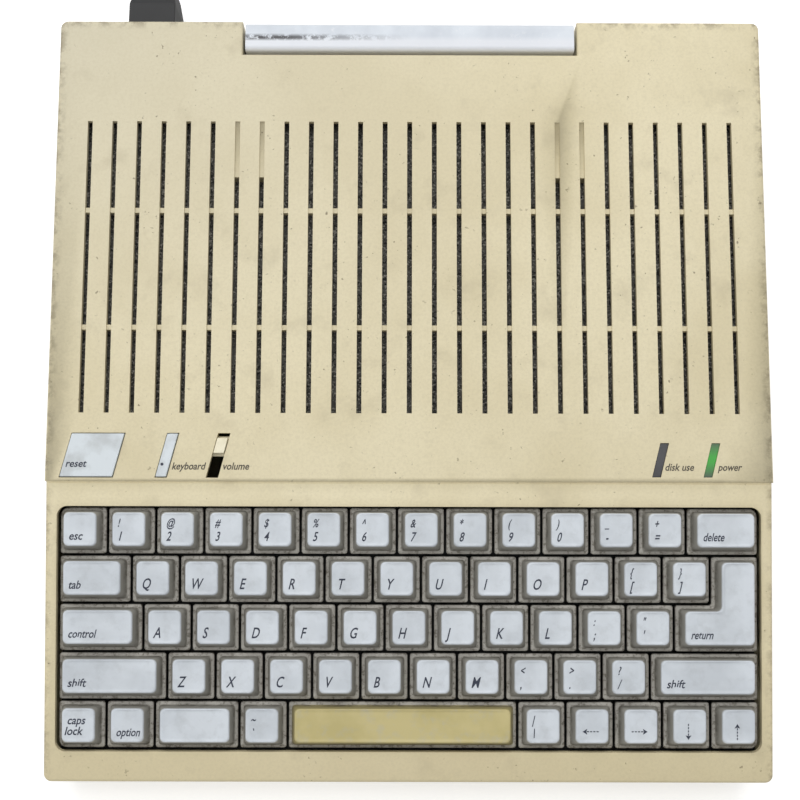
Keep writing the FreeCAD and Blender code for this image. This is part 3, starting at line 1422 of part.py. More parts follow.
def make_cord():
    """Lead to the coil, the coil itself and the tail to the plug, which lies on the table."""
    radius = number("sizes.cord_diameter") / 2
    straight = number("sizes.cord_diameter")
    start = FreeCAD.Vector(number("places.inlet_x"), number("places.connector_end"),
                           number("sizes.inlet_rise"))
    first, heading = coil_point(0)
    entry = first - heading * straight
    lead = [start, start + FreeCAD.Vector(0, number("sizes.lead_out"), 0),
            entry - FreeCAD.Vector(0, number("sizes.lead_in"), 0), entry]
    half_turns = 4 * COIL_TURNS
    stations = [coil_point(index / 2) for index in range(half_turns + 1)]
    turns = [Part.LineSegment(entry, first).toShape()]
    for (here, leave), (there, arrive) in zip(stations, stations[1:]):
        turns += biarc(here, leave, there, arrive)
    end, heading = stations[-1]
    finish = end + heading * straight
    turns.append(Part.LineSegment(end, finish).toShape())
    tail = [finish, finish + heading * number("sizes.tail_run"),
            finish + FreeCAD.Vector(number("sizes.tail_side"), number("sizes.tail_reach"), 0)]

    free = doc.addObject("Part::Feature", "free_cord")
    free.Shape = Part.Compound([tube(rounded_route(points), radius) for points in (lead, tail)])
    keep(free, "power_cord")
    coil = doc.addObject("Part::Feature", "cord_coil")
    coil.Shape = tube(turns, radius)
    keep(coil, "power_cord_coil")
    print_self_gap(turns, 2 * radius)
    make_plug(tail[-1], tail[-1] - tail[-2])


def print_self_gap(edges, diameter):
    """Least gap of the coiled tube to itself, measured on points along its middle line."""
    points = []
    travelled = []
    distance = 0.0
    for edge in edges:
        count = max(3, int(edge.Length / 2))
        samples = edge.discretize(count)
        if points and samples[0].distanceToPoint(points[-1]) > 1e-3:
            samples.reverse()
        for sample in samples:
            if points:
                distance += sample.distanceToPoint(points[-1])
            points.append(sample)
            travelled.append(distance)
    least = min(one.distanceToPoint(other)
                for index, one in enumerate(points)
                for place, other in zip(travelled[index:], points[index:])
                if place - travelled[index] > 6 * diameter)
    print(f"coil length {distance:.0f} mm, least gap to itself {least - diameter:.2f} mm")


def make_plug(place, heading):
    """Three-pin mains plug that lies on the table at the end of the cord."""
    body = new_body("plug_body")
    neck = "2 * sizes.cord_diameter"
    wide = "(sizes.cord_diameter + 2 * sizes.coil_pitch)"
    sections = []
    for name, lift, side in (("neck", "0", neck), ("shoulder", "sizes.plug_shoulder", wide),
                             ("face", "sizes.plug_length", wide)):
        plan = outline(body, f"plug_{name}", centred("0", "0", f"{side} * sizes.plug_flat", side),
                       plane="XZ_Plane", lift=lift)
        sections.append(plan)
    loft = body.newObject("PartDesign::AdditiveLoft", "plug_grip")
    loft.Profile = sections[0]
    loft.Sections = sections[1:]
    loft.Ruled = True
    blade = ("sizes.blade_rise", "sizes.blade_thick", "sizes.blade_wide")
    blades = outline(body, "plug_blades", centred("-sizes.blade_side", *blade),
                     centred("sizes.blade_side", *blade),
                     ("0", "-sizes.earth_pin_drop", "sizes.earth_pin_radius"),
                     plane="XZ_Plane", lift="sizes.plug_length")
    pad(body, "plug_pins", blades, "sizes.blade_length")
    body.Placement = FreeCAD.Placement(place, FreeCAD.Rotation(FreeCAD.Vector(0, -1, 0), heading))
    keep(body, "mains_plug")


def make_connector():
    """Moulded connector in the inlet, narrowing to the strain relief that the cord leaves."""
    body = new_body("connector_body")
    play = "2 * (sizes.housing_wall + sizes.port_play)"
    nose = outline(body, "nose_plan", centred(
        "places.inlet_x", "sizes.inlet_rise", f"sizes.inlet_width - {play}",
        f"sizes.inlet_height - {play}"), plane="XZ_Plane", lift="-places.rear_y")
    pad(body, "nose", nose, "sizes.inlet_depth - sizes.housing_wall")
    wide, tall = "sizes.connector_width", "sizes.connector_height"
    stations = (("root", "0", wide, tall), ("middle", "sizes.grip_length", wide, tall),
                ("end", "sizes.connector_length", "sizes.grip_end_width", "sizes.grip_end_height"))
    sections = [outline(body, f"connector_{name}", centred(
        "places.inlet_x", "sizes.inlet_rise", width, height), plane="XZ_Plane",
        lift=f"-(places.rear_y + {along})") for name, along, width, height in stations]
    grip = body.newObject("PartDesign::AdditiveLoft", "connector_grip")
    grip.Profile = sections[0]
    grip.Sections = sections[1:]
    grip.Ruled = True
    rings = [outline(body, f"relief_{name}", ("places.inlet_x", "sizes.inlet_rise", radius),
                     plane="XZ_Plane", lift=f"-({place})")
             for name, place, radius in (
                 ("root", "places.rear_y + sizes.connector_length", "sizes.relief_radius"),
                 ("end", "places.connector_end", "sizes.relief_end_radius"))]
    relief = body.newObject("PartDesign::AdditiveLoft", "relief")
    relief.Profile = rings[0]
    relief.Sections = [rings[1]]
    keep(body, "cord_connector")


# Build every piece, check it and write it

make_top_case()
make_bottom_case()
make_case_fittings()
make_handle()
make_keys()
make_keyboard_frame()
make_main_board()
make_board_shield()
make_power_supply()
make_disk_drive()
make_loudspeaker()
make_serial_sockets()
make_wide_socket("disk_socket", "sizes.disk_port_x", "places.notch_face", "sizes.disk_port_width")
make_wide_socket("video_socket", "places.video_port_x", "places.notch_face",
                 "sizes.video_port_width")
make_wide_socket("game_socket", "places.game_port_x", "places.rear_y", "sizes.game_port_width")
make_video_jack()
make_inlet_and_switch()
make_deck_controls()
make_connector()
make_cord()
doc.recompute()

for item in doc.Objects:
    if "Invalid" in item.State or "Error" in item.State:
        raise RuntimeError(f"{item.Name} failed: {item.State}")
for item in nodes:
    if item.Shape.isNull() or not item.Shape.isValid():
        raise RuntimeError(f"{item.Label} has no valid shape")
for item in nodes:
    item.Shape.exportStep(f"parts/{item.Label}.step")
print(f"{len(nodes)} nodes written")
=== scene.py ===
"""Vintage home computer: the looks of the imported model, at rest and on its moving bodies."""
import json
import math

import bmesh
import bpy
from mathutils import Matrix, Vector


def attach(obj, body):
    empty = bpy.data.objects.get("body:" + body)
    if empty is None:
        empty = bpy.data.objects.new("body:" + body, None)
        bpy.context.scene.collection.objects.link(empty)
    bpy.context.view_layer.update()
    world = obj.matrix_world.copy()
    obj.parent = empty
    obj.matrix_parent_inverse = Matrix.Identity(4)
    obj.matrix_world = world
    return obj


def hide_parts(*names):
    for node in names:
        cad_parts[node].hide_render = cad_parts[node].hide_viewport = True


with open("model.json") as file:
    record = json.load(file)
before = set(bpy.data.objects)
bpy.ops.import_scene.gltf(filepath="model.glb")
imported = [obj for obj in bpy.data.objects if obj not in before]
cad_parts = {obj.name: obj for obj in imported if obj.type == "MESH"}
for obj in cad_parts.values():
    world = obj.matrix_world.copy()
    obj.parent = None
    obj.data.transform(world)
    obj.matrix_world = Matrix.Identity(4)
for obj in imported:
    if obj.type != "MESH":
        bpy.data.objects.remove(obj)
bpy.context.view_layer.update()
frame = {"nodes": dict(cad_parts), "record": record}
nodes = frame["nodes"]
body_of = {member: body for body, members in frame["record"]["behaviour"]["bodies"].items()
           for member in members}
slot_of = {part["node"]: part["material_slot"] for part in frame["record"]["subparts"]}

MM = 0.001
FOLD = Vector((0, -36.39 * MM, 47.21 * MM))
KEYBOARD_SLOPE = math.radians(8.77)
DECK_SLOPE = math.radians(3.0)
KEY_PITCH = 19.05
KEY_GAP = 0.95
KEY_FIELD = 14.5 * KEY_PITCH
LAMP_Y = -27.5 * MM
REAR_BAND = 9.95
OPENING_PLAY = 0.8
FIRST_ROW = REAR_BAND + OPENING_PLAY - KEY_GAP / 2

keyboard_plane = Matrix.Translation(FOLD) @ Matrix.Rotation(KEYBOARD_SLOPE, 4, "X")
deck_plane = Matrix.Translation(FOLD) @ Matrix.Rotation(DECK_SLOPE, 4, "X")


# Making materials


def colour(code):
    """Linear colour of an sRGB hex code."""
    parts = [int(code[i:i + 2], 16) / 255 for i in (1, 3, 5)]
    return [p / 12.92 if p <= 0.04045 else ((p + 0.055) / 1.055) ** 2.4 for p in parts] + [1.0]


def add(tree, kind, inputs=None, **settings):
    """One node with its settings; each input gets a value, or the socket that feeds it."""
    node = tree.nodes.new(kind)
    for name, value in settings.items():
        setattr(node, name, value)
    for name, value in (inputs or {}).items():
        if isinstance(value, bpy.types.NodeSocket):
            tree.links.new(value, node.inputs[name])
        else:
            node.inputs[name].default_value = value
    return node.outputs


def start_material(name, roughness, ior=1.5, metallic=0.0):
    """New material, with its tree, its shader and the place on the piece in metres."""
    material = bpy.data.materials.new(name)
    material.use_nodes = True
    tree = material.node_tree
    shader = tree.nodes["Principled BSDF"]
    shader.inputs["Roughness"].default_value = roughness
    shader.inputs["IOR"].default_value = ior
    shader.inputs["Metallic"].default_value = metallic
    place = add(tree, "ShaderNodeTexCoord")["Object"]
    return material, tree, shader, place


def blotches(tree, place, size, low, high, roughness=0.6, detail=4.0):
    """Soft mask of cloudy patches of a size in millimetres, from 0 to 1 between two levels."""
    cloud = add(tree, "ShaderNodeTexNoise",
                {"Vector": place, "Scale": 1 / (size * MM), "Detail": detail,
                 "Roughness": roughness})
    return add(tree, "ShaderNodeMapRange",
               {"Value": cloud["Fac"], "From Min": low, "From Max": high})["Result"]


def layer(tree, below, above, *masks):
    """One colour over another, as much as its masks say, each a socket or a plain number."""
    amount = masks[0]
    for mask in masks[1:]:
        amount = add(tree, "ShaderNodeMath", {0: amount, 1: mask}, operation="MULTIPLY")["Value"]
    return add(tree, "ShaderNodeMix", {0: amount, 6: below, 7: above}, data_type="RGBA")[2]


def grain(tree, shader, place, size, depth):
    """Bump of moulded grain, with a size and depth in millimetres."""
    rough = add(tree, "ShaderNodeTexNoise", {"Vector": place, "Scale": 1 / (size * MM),
                                             "Detail": 3.0, "Roughness": 0.6})
    bump = add(tree, "ShaderNodeBump", {"Height": rough["Fac"], "Distance": depth * MM,
                                        "Strength": 1.0})
    tree.links.new(bump["Normal"], shader.inputs["Normal"])


def edge_mask(tree, place, axis, start, end):
    """Mask that rises from 0 at one place to 1 at another along an axis, in millimetres."""
    along = add(tree, "ShaderNodeSeparateXYZ", {"Vector": place})[axis]
    return add(tree, "ShaderNodeMapRange", {"Value": along, "From Min": start * MM,
                                            "From Max": end * MM})["Result"]


def aged_case_plastic():
    """ABS moulded with a fine spark-eroded grain: matt, yellowed unevenly, specked with dirt."""
    material, tree, shader, place = start_material("aged_abs_case", 0.55, 1.53)
    base = layer(tree, colour("#D3C9A9"), colour("#C9BE9C"), blotches(tree, place, 70, 0.40, 0.62))
    base = layer(tree, base, colour("#BDB7A2"), edge_mask(tree, place, "X", 60, -150),
                 edge_mask(tree, place, "Y", 0, 150), 0.8)
    base = layer(tree, base, colour("#C4B792"), edge_mask(tree, place, "Y", -36, -160), 0.7)
    base = layer(tree, base, colour("#9C9176"), blotches(tree, place, 16, 0.56, 0.74), 0.30)
    base = layer(tree, base, colour("#B3A88A"), blotches(tree, place, 1.1, 0.42, 0.66, 0.7), 0.28)
    base = layer(tree, base, colour("#54472F"), blotches(tree, place, 1.8, 0.68, 0.74, 0.5, 2.0),
                 blotches(tree, place, 12, 0.48, 0.6), 0.75)
    for axis, start, end in (("X", 139.5, 143.6), ("X", -139.5, -143.6), ("Y", 148.5, 152.6)):
        base = layer(tree, base, colour("#6B5F48"), edge_mask(tree, place, axis, start, end),
                     blotches(tree, place, 5, 0.46, 0.62, 0.7), 0.7)
    tree.links.new(base, shader.inputs["Base Color"])
    grain(tree, shader, place, 0.6, 0.03)
    return material


def keycap_plastic(name, top, worn, side):
    """PBT keycap: dry matt top; painted shade on its sides, ledge and skirt, mixed with brown grime.
    """
    material, tree, shader, place = start_material(name, 0.5, 1.52)
    plane = add(tree, "ShaderNodeMapping", {"Vector": place, "Location": FOLD,
                                            "Rotation": (KEYBOARD_SLOPE, 0, 0)},
                vector_type="TEXTURE")["Vector"]
    height = add(tree, "ShaderNodeSeparateXYZ", {"Vector": plane})["Z"]

    def below(start, end):
        return add(tree, "ShaderNodeMapRange", {"Value": height, "From Min": start * MM,
                                                "From Max": end * MM})["Result"]

    base = layer(tree, colour(top), colour(worn), blotches(tree, place, 26, 0.42, 0.62))
    base = layer(tree, base, colour("#9FA3A6"), blotches(tree, place, 7, 0.50, 0.72, 0.7), 0.35)
    # Sides painted darker than the top, in the side colour: painted shade.
    base = layer(tree, base, colour(side), below(3.1, 2.2))
    # Dark band low on the sides, broken up by blotches: painted shade between keys, mixed with brown
    # grime.
    base = layer(tree, base, colour("#4B453B"), below(0.5, -2.4),
                 blotches(tree, place, 3.5, 0.36, 0.60, 0.7), 0.75)
    # The ledge gets a tone between side and top: painted shade; the dark specks on it are grime.
    ledge = below(-2.9, -3.15)
    base = layer(tree, base, colour("#A4A199"), ledge, 0.9)
    base = layer(tree, base, colour("#4E473C"), ledge,
                 blotches(tree, place, 1.6, 0.50, 0.62, 0.7), 0.75)
    # Skirt below the ledge painted near black: painted shade in the gaps between keys.
    base = layer(tree, base, colour("#1B1916"), below(-3.5, -4.6))
    tree.links.new(base, shader.inputs["Base Color"])
    grain(tree, shader, place, 0.5, 0.02)
    return material


def plain_plastic(name, code, worn, roughness=0.45, size=12, depth=0.02):
    """Moulded plastic whose colour drifts a little where it has been handled."""
    material, tree, shader, place = start_material(name, roughness, 1.52)
    base = layer(tree, colour(code), colour(worn), blotches(tree, place, size, 0.45, 0.65))
    tree.links.new(base, shader.inputs["Base Color"])
    grain(tree, shader, place, 0.6, depth)
    return material


def scuffed_handle_plastic():
    """Painted-looking ABS bar: cool grey, a black scuffed line, a painted highlight on its front
    band and pale edges.
    """
    material, tree, shader, place = start_material("scuffed_abs_handle", 0.5, 1.52)
    base = layer(tree, colour("#CBD1D8"), colour("#BCC2CA"), blotches(tree, place, 30, 0.42, 0.62))
    # Front band painted lighter: painted highlight on the bevel.
    base = layer(tree, base, colour("#D5D7DC"), edge_mask(tree, place, "Y", 146.6, 144.4), 0.75)
    for start, end in ((141.6, 140.6), (150.9, 151.9)):
        base = layer(tree, base, colour("#E2E3E4"), edge_mask(tree, place, "Y", start, end), 0.8)
    base = layer(tree, base, colour("#D9DADD"), blotches(tree, place, 2.5, 0.60, 0.72), 0.5)
    base = layer(tree, base, colour("#262528"), edge_mask(tree, place, "Y", 144.2, 145.4),
                 edge_mask(tree, place, "Y", 147.6, 146.2), edge_mask(tree, place, "X", 0, -50),
                 blotches(tree, place, 3, 0.40, 0.52, 0.75), 0.95)
    tree.links.new(base, shader.inputs["Base Color"])
    grain(tree, shader, place, 0.7, 0.03)
    return material


def speckled_shield_metal():
    """Zinc-plated sheet under the vents, dulled by dust with bright and dark speckles."""
    material, tree, shader, place = start_material("dusty_shield_sheet", 0.6, 1.5, 0.1)
    base = layer(tree, colour("#6C6A64"), colour("#4C4A44"), blotches(tree, place, 5, 0.4, 0.6))
    base = layer(tree, base, colour("#B8B5AA"), blotches(tree, place, 0.9, 0.56, 0.64, 0.5, 2.0))
    base = layer(tree, base, colour("#1D1C1A"), blotches(tree, place, 1.3, 0.56, 0.62, 0.5, 2.0))
    tree.links.new(base, shader.inputs["Base Color"])
    grain(tree, shader, place, 0.8, 0.05)
    return material


def plated_metal(name, code, dull, roughness=0.35):
    """Plated or cast metal, with faint cloudy dulling."""
    material, tree, shader, place = start_material(name, roughness, 1.5, 1.0)
    base = layer(tree, colour(code), colour(dull), blotches(tree, place, 8, 0.4, 0.65))
    tree.links.new(base, shader.inputs["Base Color"])
    rough = blotches(tree, place, 5, 0.3, 0.7)
    spread = add(tree, "ShaderNodeMapRange", {"Value": rough, "To Min": roughness,
                                              "To Max": roughness + 0.15})["Result"]
    tree.links.new(spread, shader.inputs["Roughness"])
    return material


def lamp_lens(name, dull, code, glow):
    """Tinted acrylic lens, brightest over its lamp and dull towards both ends."""
    material, tree, shader, place = start_material(name, 0.25, 1.49)
    along = add(tree, "ShaderNodeSeparateXYZ", {"Vector": place})["Y"]
    from_lamp = add(tree, "ShaderNodeMath", {0: along, 1: LAMP_Y}, operation="SUBTRACT")["Value"]
    off_centre = add(tree, "ShaderNodeMath", {0: from_lamp}, operation="ABSOLUTE")["Value"]
    bright = add(tree, "ShaderNodeMapRange", {"Value": off_centre, "From Min": 7.0 * MM,
                                              "From Max": 1.0 * MM})["Result"]
    base = layer(tree, colour(dull), colour(code), bright)
    tree.links.new(base, shader.inputs["Base Color"])
    tree.links.new(base, shader.inputs["Emission Color"])
    shader.inputs["Emission Strength"].default_value = glow
    grain(tree, shader, place, 1.2, 0.02)
    return material


def printed_ink(name, code, worn):
    """Ink of a legend, a little thinner where it is worn."""
    material, tree, shader, place = start_material(name, 0.5, 1.5)
    base = layer(tree, colour(code), colour(worn), blotches(tree, place, 2, 0.45, 0.65))
    tree.links.new(base, shader.inputs["Base Color"])
    return material


def lacquered_board():
    """Epoxy glass board under green lacquer, with the paler lines of its copper tracks."""
    material, tree, shader, place = start_material("lacquered_board", 0.3, 1.5)
    tracks = add(tree, "ShaderNodeTexWave", {"Vector": place, "Scale": 180.0, "Distortion": 4.0,
                                             "Detail": 1.0})["Fac"]
    lines = add(tree, "ShaderNodeMapRange", {"Value": tracks, "From Min": 0.75,
                                             "From Max": 0.85})["Result"]
    base = layer(tree, colour("#1D4A30"), colour("#2F6B45"), lines)
    tree.links.new(base, shader.inputs["Base Color"])
    return material


MATERIALS = {
    "case": aged_case_plastic(),
    "handle": scuffed_handle_plastic(),
    # Each cap's last colour is its side tone, darker than its top: painted shade.
    "keycap": keycap_plastic("worn_pbt_keycap_painted_shade", "#C9CFD5", "#BCC2C8", "#908E87"),
    "space_bar": keycap_plastic("yellowed_abs_space_bar_painted_shade", "#BBAF7C", "#B0A46F", "#9A8F62"),
    # The keyboard plate is steel; it is made near black as painted shade in the gaps between keys.
    "plate_black_painted_shade": plain_plastic("steel_plate_black_painted_shade", "#0C0C0C", "#171614", 0.6),
    "switch_body": plain_plastic("black_switch_nylon", "#1B1A19", "#2A2724"),
    "circuit_board": lacquered_board(),
    "steel": plated_metal("zinc_plated_steel", "#A9A9A4", "#8C8C86"),
    "shield": speckled_shield_metal(),
    "rubber": plain_plastic("rubber_foot", "#222222", "#2C2B2A", 0.8),
    "power_case": plated_metal("folded_sheet_case", "#9A9A94", "#82827C", 0.45),
    "drive_metal": plated_metal("cast_drive_frame", "#8F8F8C", "#777774", 0.5),
    "control": plain_plastic("white_button_abs", "#C9D0D4", "#B4B9BB"),
    "speaker": plain_plastic("pressed_speaker_basket", "#2A2A2A", "#3A3937"),
    "socket_black": plain_plastic("black_socket_nylon", "#161616", "#222120"),
    "socket_shell": plated_metal("tin_plated_shell", "#B2B2AC", "#97978F"),
    "jack_metal": plated_metal("plated_jack_brass", "#C9B478", "#A38E55", 0.3),
    "knob": plain_plastic("cream_knob_abs", "#E4DDC4", "#D6CEB2"),
    "lens_dark": lamp_lens("unlit_lens_acrylic", "#2F2F31", "#38383B", 0.0),
    "lens_green": lamp_lens("lit_lens_acrylic", "#3C463C", "#2F8A2C", 0.25),
    "cord": plain_plastic("black_cord_pvc", "#08090B", "#101113", 0.65, 20, 0.01),
}
INK = printed_ink("navy_key_ink", "#161C2E", "#252C3E")
CASE_INK = printed_ink("brown_case_ink", "#3C362B", "#4F483B")

# keyboard_plate takes the near-black plate: painted shade, in place of its steel.
OTHER_LOOKS = {"board_shield": "shield", "keyboard_plate": "plate_black_painted_shade", "handle_pins": "steel"}

for name, piece in nodes.items():
    look = OTHER_LOOKS.get(name, slot_of[name])
    for place in piece.material_slots:
        place.material = MATERIALS[look]


# Camera and mains cord


lens = bpy.data.cameras.new("photo_view")
lens.lens = 57.75
lens.sensor_width = 36
lens.clip_start = 0.01
camera = bpy.data.objects.new("photo_view", lens)
camera.location = Vector((-4.48, -93.1, 549.71)) * MM
camera.rotation_euler = (0.1757, -0.0020, 0.0023)
bpy.context.scene.collection.objects.link(camera)
bpy.context.scene.camera = camera

CORD = 7.0
CORD_EXIT = Vector((-109.4, 194.61, 28.0))
LEAD_OUT = Vector((0, 30, 0))
LEAD_IN = Vector((0, 28, 0))
TAIL_RUN = Vector((0, 38, 0))
TAIL_END = Vector((12, 74, 0))
COIL_TURNS = 3
COIL_PITCH = 8.6
COIL_MIDDLE = 42.0
COIL_OUTER = COIL_MIDDLE + COIL_PITCH * COIL_TURNS / 2
COIL_INNER = COIL_OUTER - COIL_PITCH * COIL_TURNS
COIL_SIDE = -104.0
COIL_CENTRE = Vector((COIL_SIDE - COIL_OUTER, 298.61, 0))
POINTS_PER_TURN = 14


def coil_point(turns):
    """Point on the coil: in along the table, up one layer where it reverses, out again on top."""
    angle = 2 * math.pi * turns
    low = CORD / 2
    if turns <= COIL_TURNS:
        reach, height = COIL_OUTER - COIL_PITCH * turns, low
    elif turns < COIL_TURNS + 0.5:
        reach, height = COIL_INNER, low + COIL_PITCH * 2 * (turns - COIL_TURNS)
    else:
        reach, height = COIL_INNER + COIL_PITCH * (turns - COIL_TURNS - 0.5), low + COIL_PITCH
    return COIL_CENTRE + Vector((reach * math.cos(angle), reach * math.sin(angle), height))


def wind_cord():
    """Mains lead from the rear connector, wound into its coil and out to the plug."""
    entry = coil_point(0) - Vector((0, CORD, 0))
    way_out = coil_point(2 * COIL_TURNS) + Vector((0, CORD, 0))
    route = [CORD_EXIT, CORD_EXIT + LEAD_OUT, entry - LEAD_IN, entry]
    steps = 2 * COIL_TURNS * POINTS_PER_TURN
    route += [coil_point(step / POINTS_PER_TURN) for step in range(steps + 1)]
    route += [way_out, way_out + TAIL_RUN, way_out + TAIL_END]
    curve = bpy.data.curves.new("mains_cord", "CURVE")
    curve.dimensions = "3D"
    curve.resolution_u = 6
    spline = curve.splines.new("NURBS")
    spline.points.add(len(route) - 1)
    for point, place in zip(spline.points, route):
        point.co = (*(place * MM), 1)
    spline.order_u = 3
    spline.use_endpoint_u = True
    curve.bevel_depth = CORD / 2 * MM
    curve.bevel_resolution = 4
    curve.use_fill_caps = True
    curve.materials.append(MATERIALS["cord"])
    piece = bpy.data.objects.new("mains_cord", curve)
    bpy.context.scene.collection.objects.link(piece)
    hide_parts("power_cord", "power_cord_coil")
    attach(piece, "chassis")
    return piece


# Making pieces


def put(name, mesh, body, slot, *replaced):
    """New piece from a finished mesh, on its body and in place of the nodes that it replaces."""
    piece = bpy.data.objects.new(name, mesh)
    bpy.context.scene.collection.objects.link(piece)
    if replaced:
        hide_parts(*replaced)
    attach(piece, body)
    return piece


def dress(node, edge=0.0):
    """Merged copy of a CAD node in its place, smooth over its soft edges, with worn corners."""
    mesh = nodes[node].data.copy()
    form = bmesh.new()
    form.from_mesh(mesh)
    bmesh.ops.remove_doubles(form, verts=form.verts, dist=1e-6)
    bmesh.ops.dissolve_limit(form, angle_limit=math.radians(0.6), verts=form.verts,
                             edges=form.edges)
    form.to_mesh(mesh)
    form.free()
    mesh.materials.clear()
    mesh.materials.append(MATERIALS[slot_of[node]])
    mesh.shade_smooth()
    mesh.set_sharp_from_angle(angle=SOFT_ANGLE)
    piece = put(f"{node}_piece", mesh, body_of[node], slot_of[node], node)
    if edge:
        bevel = piece.modifiers.new("soft_edges", "BEVEL")
        bevel.width = edge * MM
        bevel.segments = 2
        bevel.limit_method = "ANGLE"
        bevel.angle_limit = SOFT_ANGLE
        bevel.use_clamp_overlap = True
    return piece


HANDLE_EDGE = 0.8
CONTROL_EDGE = 0.3
SOFT_ANGLE = math.radians(32)


# Keys


def key_corners(units, inset, front=0.0, rear=0.0, tall=False):
    """Corners of a keycap's plan about its centre, anticlockwise from the front left."""
    half = (KEY_PITCH * units - KEY_GAP) / 2
    deep = (KEY_PITCH - KEY_GAP) / 2
    side, low, high = half - inset, inset + front - deep, deep - inset - rear
    if not tall:
        return [(-side, low), (side, low), (side, high), (-side, high)]
    step = half - KEY_PITCH + KEY_GAP + inset
    return [(-side, low), (side, low), (side, high + KEY_PITCH), (step, high + KEY_PITCH),
            (step, high), (-side, high)]


def rounded(corners, radii, steps=5, parts=4):
    """Closed line of points round the corners, each rounded, with more points on the sides."""
    arcs = []
    for index, corner in enumerate(corners):
        here = Vector(corner)
        back = (Vector(corners[index - 1]) - here).normalized()
        ahead = (Vector(corners[(index + 1) % len(corners)]) - here).normalized()
        radius = radii[index]
        centre = here + (back + ahead) * radius
        turns = [step / steps * math.pi / 2 for step in range(steps + 1)]
        arcs.append([centre - ahead * radius * math.cos(turn) - back * radius * math.sin(turn)
                     for turn in turns])
    line = []
    for arc, following in zip(arcs, arcs[1:] + arcs[:1]):
        line += arc
        line += [arc[-1].lerp(following[0], part / parts) for part in range(1, parts)]
    return line


KEY_BOTTOM = -6.3
KEY_LEDGE = -3.25
KEY_TOP = 3.5
LEDGE_INSET = 1.3
TOP_INSET = 2.8
TOP_FRONT = 0.9
TOP_REAR = -1.3
SKIRT_CORNER = 3.0
SKIRT_WALL = 1.2
HOLLOW_TOP = 2.0
STEM_SIZE = (4.6, 3.2, 10.6)
STEM_MIDDLE = -2.9


def key_rings():
    """Insets, front and rear extras, height and corner radius of each ring, from the bottom up."""
    rings = [(0, 0, 0, KEY_BOTTOM, 1.0), (0, 0, 0, -3.75, 1.0), (0.12, 0, 0, -3.4, 1.0),
             (0.4, 0, 0, KEY_LEDGE, 1.0), (1.0, 0, 0, -3.22, 1.2)]
    for height, extra in ((-2.95, 0.0), (-2.0, 0.0), (0.6, 0.0), (2.7, 0.0), (3.2, 0.12),
                          (3.42, 0.32), (KEY_TOP, 0.62)):
        part = (height - KEY_LEDGE) / (KEY_TOP - KEY_LEDGE)
        rings.append((LEDGE_INSET + (TOP_INSET - LEDGE_INSET) * part + extra, TOP_FRONT * part,
                      TOP_REAR * part, height, 1.2 + 0.9 * part - 0.4 * extra))
    for extra, radius in ((1.6, 1.4), (3.0, 0.9), (4.4, 0.4)):
        rings.append((TOP_INSET + extra, TOP_FRONT, TOP_REAR, KEY_TOP, radius))
    return rings


SCOOP = 0.45
SCOOP_REACH = 6.0


def half_top(units):
    """Half the width of a keycap's top."""
    return (KEY_PITCH * units - KEY_GAP) / 2 - TOP_INSET


def top_height(x, half):
    """Height of a keycap's top, scooped out between its left and right sides."""
    part = min(1.0, max(0.0, (half - abs(x)) / SCOOP_REACH))
    return KEY_TOP - SCOOP * (1 - (1 - part) ** 2)


def add_keycap(form, units, place, tall=False, outer=()):
    """One keycap, hollow with its stem; outer lists the skirt corners that end the keyboard."""
    half = half_top(units)
    loops = []
    for inset, front, rear, height, radius in key_rings():
        corners = key_corners(units, inset, front, rear, tall)
        radii = [radius] * len(corners)
        if height <= KEY_LEDGE:
            for corner in outer:
                radii[corner] = SKIRT_CORNER - inset
        loops.append([(p.x, p.y, height if height < KEY_TOP else top_height(p.x, half))
                      for p in rounded(corners, radii)])
    under = []
    for inset, height in ((SKIRT_WALL, KEY_BOTTOM), (TOP_INSET + 0.6, HOLLOW_TOP)):
        corners = key_corners(units, inset, 0, 0, tall)
        under.append([(p.x, p.y, height) for p in rounded(corners, [0.6] * len(corners))])
    rings = [[form.verts.new(place @ (Vector(p) * MM)) for p in loop]
             for loop in list(reversed(under)) + loops]
    count = len(rings[0])
    for low, high in zip(rings, rings[1:]):
        for index in range(count):
            after = (index + 1) % count
            form.faces.new((low[index], low[after], high[after], high[index])).smooth = True
    form.faces.new(list(reversed(rings[0])))
    form.faces.new(rings[-1]).smooth = True
    stem = bmesh.ops.create_cube(form, size=1.0)["verts"]
    size = Matrix.Diagonal((*(side * MM for side in STEM_SIZE), 1))
    middle = Matrix.Translation((0, 0, STEM_MIDDLE * MM))
    bmesh.ops.transform(form, matrix=place @ middle @ size, verts=stem)


CAP_HEIGHT = 0.729
CONDENSE = 0.70
SLANT = 0.24
INK_SPREAD = 0.07


def lettering(text, height, width=None):
    """Flat mesh of slanted condensed lettering, with a height and width in millimetres."""
    curve = bpy.data.curves.new("letters", "FONT")
    curve.body = text
    curve.size = height / CAP_HEIGHT * MM
    curve.resolution_u = 3
    curve.space_line = 0.92
    curve.offset = INK_SPREAD * MM
    holder = bpy.data.objects.new("letters", curve)
    mesh = bpy.data.meshes.new_from_object(holder)
    bpy.data.objects.remove(holder)
    natural = max(vert.co.x for vert in mesh.vertices)
    condense = width * MM / natural if width else CONDENSE
    slanted = Matrix(((condense, SLANT, 0, 0), (0, 1, 0, 0), (0, 0, 1, 0), (0, 0, 0, 1)))
    mesh.transform(slanted)
    return mesh


DASH_STARTS = (-3.1, -1.85, -0.6)
DASH_LENGTH = 0.8
DASH_HALF = 0.2
SHAFT = [(0.6, -0.2), (1.5, -0.2), (1.5, 0.2), (0.6, 0.2)]
ARROW_HEAD = [(1.3, -1.15), (3.1, 0.0), (1.3, 1.15), (1.7, 0.0)]


